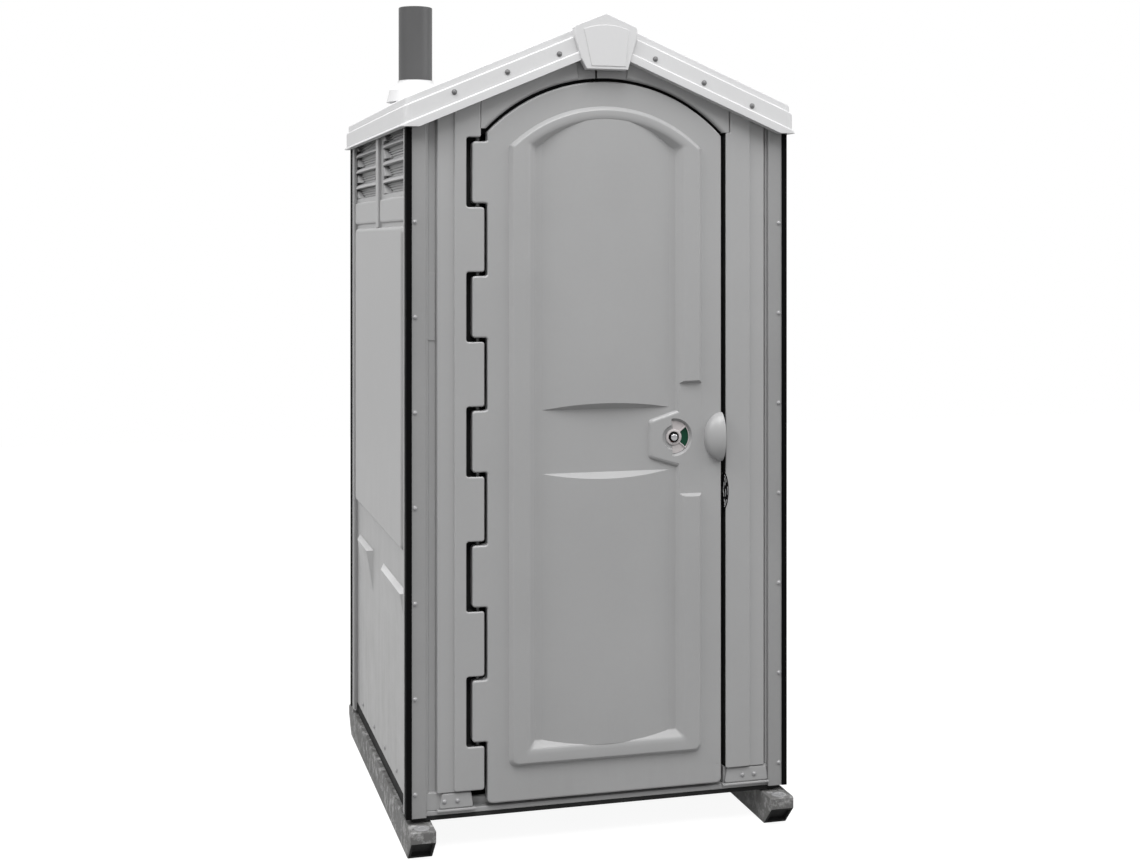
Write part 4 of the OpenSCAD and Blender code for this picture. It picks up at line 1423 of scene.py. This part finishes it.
def fastener_rows():
    """Rivets of the corners, the gable bands and the wall feet, and the screws of the sill."""
    corner, roof, sill_screws = [], [], []
    inner, flange, band = TRIM_LO.x - 0.0085, -FLANGE_LO.y - 0.0002, HALF_D + 0.026
    for k in range(RIVET_COUNT):
        z = RIVET_TOP - k * RIVET_STEP
        for side in (-1, 1):
            corner += [dome((side * inner, end * flange, z), (0, end, 0), 0.0078) for end in (-1, 1)]
    for x, drop in ROOF_RIVETS:
        roof += [dome((x, end * band, gable(x, drop)), (0, end, 0), 0.0075) for end in (-1, 1)]
    for x in SILL_SCREWS:
        sill_screws.append(dome((x, FRONT + 0.0072, 0.143), OUT, 0.008))
    for side in (-1, 1):
        for y in FOOT_SCREWS:
            sill_screws.append(dome((side * WALL_OUT, y, 0.158), (side, 0, 0), 0.008))
    return joined(*corner), joined(*roof), joined(*sill_screws)


# ---------------------------------------------------------------- stage


# Place that the lamps point at
LAMP_AIM = Vector((0, 0, 1.2))


def emptied(block):
    """The cleared node tree of a material or a world, and whether it is seen or only lights."""
    block.use_nodes = True
    block.node_tree.nodes.clear()
    made = Tree(block.node_tree)
    path = made.add("ShaderNodeLightPath").outputs
    seen = made.maths("MAXIMUM", path["Is Camera Ray"], path["Is Glossy Ray"])
    return made, made.maths("MAXIMUM", seen, path["Is Transmission Ray"])


def floor():
    """A wide pale floor that keeps the cabin's shadow, white elsewhere."""
    bm = bmesh.new()
    bmesh.ops.create_grid(bm, x_segments=8, y_segments=8, size=9.0)
    obj = linked(bm, "floor")
    material = bpy.data.materials.new("floor")
    made, seen = emptied(material)
    plain = made.add("ShaderNodeBsdfDiffuse", {"Color": (0.18, 0.18, 0.18, 1.0)})
    glow = made.add("ShaderNodeEmission", {"Color": (1.0, 1.0, 1.0, 1.0), "Strength": 0.93})
    both = made.add("ShaderNodeAddShader", {0: plain.outputs[0], 1: glow.outputs[0]})
    mix = made.add("ShaderNodeMixShader", {0: seen, 1: plain.outputs[0], 2: both.outputs[0]})
    made.add("ShaderNodeOutputMaterial", {"Surface": mix.outputs[0]})
    obj.data.materials.append(material)


def lamp(name, size, energy, spot):
    """A square area lamp that points at the middle of the cabin."""
    light = bpy.data.lights.new(name, "AREA")
    light.shape = "SQUARE"
    light.size = size
    light.energy = energy
    obj = bpy.data.objects.new(name, light)
    obj.location = spot
    obj.rotation_euler = (LAMP_AIM - Vector(spot)).to_track_quat("-Z", "Y").to_euler()
    bpy.context.collection.objects.link(obj)


def sky(strength):
    """A soft grey world that the camera sees as white."""
    world = bpy.data.worlds.new("sky")
    bpy.context.scene.world = world
    made, seen = emptied(world)
    soft = made.add("ShaderNodeBackground", {"Color": (1.0, 1.0, 1.0, 1.0), "Strength": strength})
    white = made.add("ShaderNodeBackground", {"Color": (1.0, 1.0, 1.0, 1.0), "Strength": 1.0})
    mix = made.add("ShaderNodeMixShader", {0: seen, 1: soft.outputs[0], 2: white.outputs[0]})
    made.add("ShaderNodeOutputWorld", {"Surface": mix.outputs[0]})


def camera():
    """The camera, level and a little to the left of the cabin, framed by its shift."""
    data = bpy.data.cameras.new("camera")
    data.sensor_width = 36.0
    data.lens = 51.42
    data.shift_y = -0.168
    obj = bpy.data.objects.new("camera", data)
    obj.location = (-1.282, -4.951, 1.6725)
    obj.rotation_euler = (math.radians(90), 0, math.radians(-15.18))
    bpy.context.collection.objects.link(obj)
    bpy.context.scene.camera = obj


# ---------------------------------------------------------------- operators

SIDES = ((-1, "left"), (1, "right"))


class CABIN_OT_base(bpy.types.Operator):
    """Adds the two runners, the floor pan and the sill"""

    bl_idname = "cabin.base"
    bl_label = "Base"

    def execute(self, context):
        for side, word in SIDES:
            piece(runner(side), f"{word}_runner", "cabin", ["runner", "pan"], [f"{word}_skid"])
            piece(runner_bolts(side), f"{word}_runner_bolts", "cabin", ["rivet"])
        # The floor pan's near-black finish is painted shade for the dark line seen under the sill.
        piece(floor_pan(), "floor_pan", "cabin", ["pan"], ["base_floor"])
        piece(sill(), "sill_bar", "cabin", ["body"], ["front_sill"])
        return {"FINISHED"}


class CABIN_OT_walls(bpy.types.Operator):
    """Adds the side and back walls with their pressed panels and vents"""

    bl_idname = "cabin.walls"
    bl_label = "Walls"

    def execute(self, context):
        for side, word in SIDES:
            wall = side_wall()
            vents = {part: vent(*span) for part, span in VENT_SPANS.items()}
            if side < 0:
                mirrored(wall, "x")
            # The walls' finish is a shaded copy of the body grey, painted shade; the ledge tops take a
            # painted highlight.
            piece(wall, f"{word}_wall_panel", "cabin", ["wall", "painted_highlight"], [f"{word}_wall"])
            for part, shape in vents.items():
                if side < 0:
                    mirrored(shape, "x")
                piece(shape, f"{word}_{part}_vent", "cabin", ["wall"], [f"{word}_{part}_louvre"])
        piece(rear_wall(), "back_wall_panel", "cabin", ["wall"], ["back_wall"])
        return {"FINISHED"}


class CABIN_OT_corners(bpy.types.Operator):
    """Adds the grey flanges and the black trims at the four corners"""

    bl_idname = "cabin.corners"
    bl_label = "Corners"

    def execute(self, context):
        for end in ("front", "back"):
            for side, word in SIDES:
                # The flanges' darker grey is painted shade.
                for maker, finish, part in ((corner_flange, "flange", "corner"),
                                            (corner_trim, "trim", "trim")):
                    shape = maker()
                    if side < 0:
                        mirrored(shape, "x")
                    if end == "back":
                        mirrored(shape, "y")
                    piece(shape, f"{end}_{word}_{part}_angle", "cabin", [finish], [f"{end}_{word}_{part}"])
        return {"FINISHED"}


class CABIN_OT_door_frame(bpy.types.Operator):
    """Adds the hinge post, the latch post with its keeper, and the two headers"""

    bl_idname = "cabin.door_frame"
    bl_label = "Door frame"

    def execute(self, context):
        piece(hinge_jamb(), "hinge_jamb", "cabin", ["body", "pan"], ["hinge_post"])
        piece(latch_jamb(), "latch_jamb", "cabin", ["body", "pan"], ["latch_post"])
        for side, word in SIDES:
            piece(header(side), f"header_{word}", "cabin", ["body", "pan"], [f"{word}_header"])
        # The keeper's black cup is partly painted shade for the dark cavity in the lens cut.
        piece(keeper(), "keeper_cup", "cabin", ["trim"], ["latch_keeper"])
        piece(keeper_wires(), "keeper_wires", "cabin", ["rivet"])
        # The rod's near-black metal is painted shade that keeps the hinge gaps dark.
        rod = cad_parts["hinge_rod"]
        rod.data.materials.clear()
        rod.data.materials.append(finished("rod"))
        return {"FINISHED"}


class CABIN_OT_roof(bpy.types.Operator):
    """Adds the roof, the collar and the vent pipe"""

    bl_idname = "cabin.roof"
    bl_label = "Roof"

    def execute(self, context):
        piece(roof_shell(), "roof_shell", "cabin", ["roof"], ["roof"])
        piece(collar(), "stack_collar", "cabin", ["roof"], ["pipe_collar"])
        piece(vent_stack(), "vent_stack", "cabin", ["pipe"], ["vent_pipe"])
        return {"FINISHED"}


class CABIN_OT_door(bpy.types.Operator):
    """Adds the leaf, its moulding, its crowned panels and its pull"""

    bl_idname = "cabin.door"
    bl_label = "Door"

    def execute(self, context):
        piece(door_shell(), "leaf_shell", "door_leaf", ["body"], ["door"])
        piece(moulding(), "leaf_moulding", "door_leaf", ["body"])
        for part in ("upper", "lower"):
            piece(crowned_panel(part == "upper"), f"leaf_panel_{part}", "door_leaf", ["body"])
        piece(pull(), "pull_dome", "door_leaf", ["body"], ["door_pull"])
        return {"FINISHED"}


class CABIN_OT_lock(bpy.types.Operator):
    """Adds the lock plate, the dial, its screw and the arm behind the leaf"""

    bl_idname = "cabin.lock"
    bl_label = "Lock"

    def execute(self, context):
        piece(lock_plate(), "lock_plate", "door_leaf", ["plate"], ["lock_cover"])
        piece(dial(), "indicator_dial", "latch", ["free", "taken"], ["indicator_disc"])
        piece(lock_screw(), "lock_screw_head", "latch", ["chrome", "trim"], ["lock_screw"])
        piece(latch_arm(), "latch_arm", "latch", ["trim"], ["latch_lever"])
        return {"FINISHED"}


class CABIN_OT_fasteners(bpy.types.Operator):
    """Adds the rivets of the corners and the roof, and the screws of the base"""

    bl_idname = "cabin.fasteners"
    bl_label = "Fasteners"

    def execute(self, context):
        names = (("corner_rivets", "rivet"), ("roof_rivets", "stud"), ("base_screws", "rivet"))
        for (name, finish), shape in zip(names, fastener_rows()):
            piece(shape, name, "cabin", [finish])
        return {"FINISHED"}


class CABIN_OT_stage(bpy.types.Operator):
    """Adds the floor, the soft light and the camera"""

    bl_idname = "cabin.stage"
    bl_label = "Stage"

    def execute(self, context):
        context.scene.view_settings.view_transform = "Standard"
        floor()
        sky(0.45)
        lamp("front", 5.2, 690, (-0.6, -4.9, 9.1))
        lamp("left", 4.0, 365, (-5.6, -1.6, 7.0))
        lamp("right", 4.0, 225, (6.3, -2.9, 5.2))
        lamp("back", 4.0, 255, (0.5, 6.0, 6.2))
        camera()
        return {"FINISHED"}


class CABIN_PT_pieces(bpy.types.Panel):
    """Lists the pieces and their sizes"""

    bl_idname = "CABIN_PT_pieces"
    bl_label = "Cabin pieces"
    bl_space_type = "VIEW_3D"
    bl_region_type = "UI"
    bl_category = "Cabin"

    def draw(self, context):
        for maker in MAKERS:
            self.layout.operator(maker.bl_idname)
        for name in SETTINGS:
            settings = getattr(context.scene, name)
            column = self.layout.column(heading=name.replace("_", " ").capitalize())
            for label in type(settings).__annotations__:
                column.prop(settings, label)


MAKERS = (
    CABIN_OT_base,
    CABIN_OT_walls,
    CABIN_OT_corners,
    CABIN_OT_door_frame,
    CABIN_OT_roof,
    CABIN_OT_door,
    CABIN_OT_lock,
    CABIN_OT_fasteners,
    CABIN_OT_stage,
)
SETTINGS = {
    "cabin_sizes": CabinSizes,
    "door_sizes": DoorSizes,
    "roof_sizes": RoofSizes,
    "finish_colours": FinishColours,
}


def register():
    for cls in (*SETTINGS.values(), *MAKERS, CABIN_PT_pieces):
        bpy.utils.register_class(cls)
    for name, cls in SETTINGS.items():
        setattr(bpy.types.Scene, name, bpy.props.PointerProperty(type=cls))


def unregister():
    for name in SETTINGS:
        delattr(bpy.types.Scene, name)
    for cls in reversed((*SETTINGS.values(), *MAKERS, CABIN_PT_pieces)):
        bpy.utils.unregister_class(cls)


def main():
    register()
    for maker in MAKERS:
        group_name, operator = maker.bl_idname.split(".")
        getattr(getattr(bpy.ops, group_name), operator)()


if __name__ == "__main__":
    main()
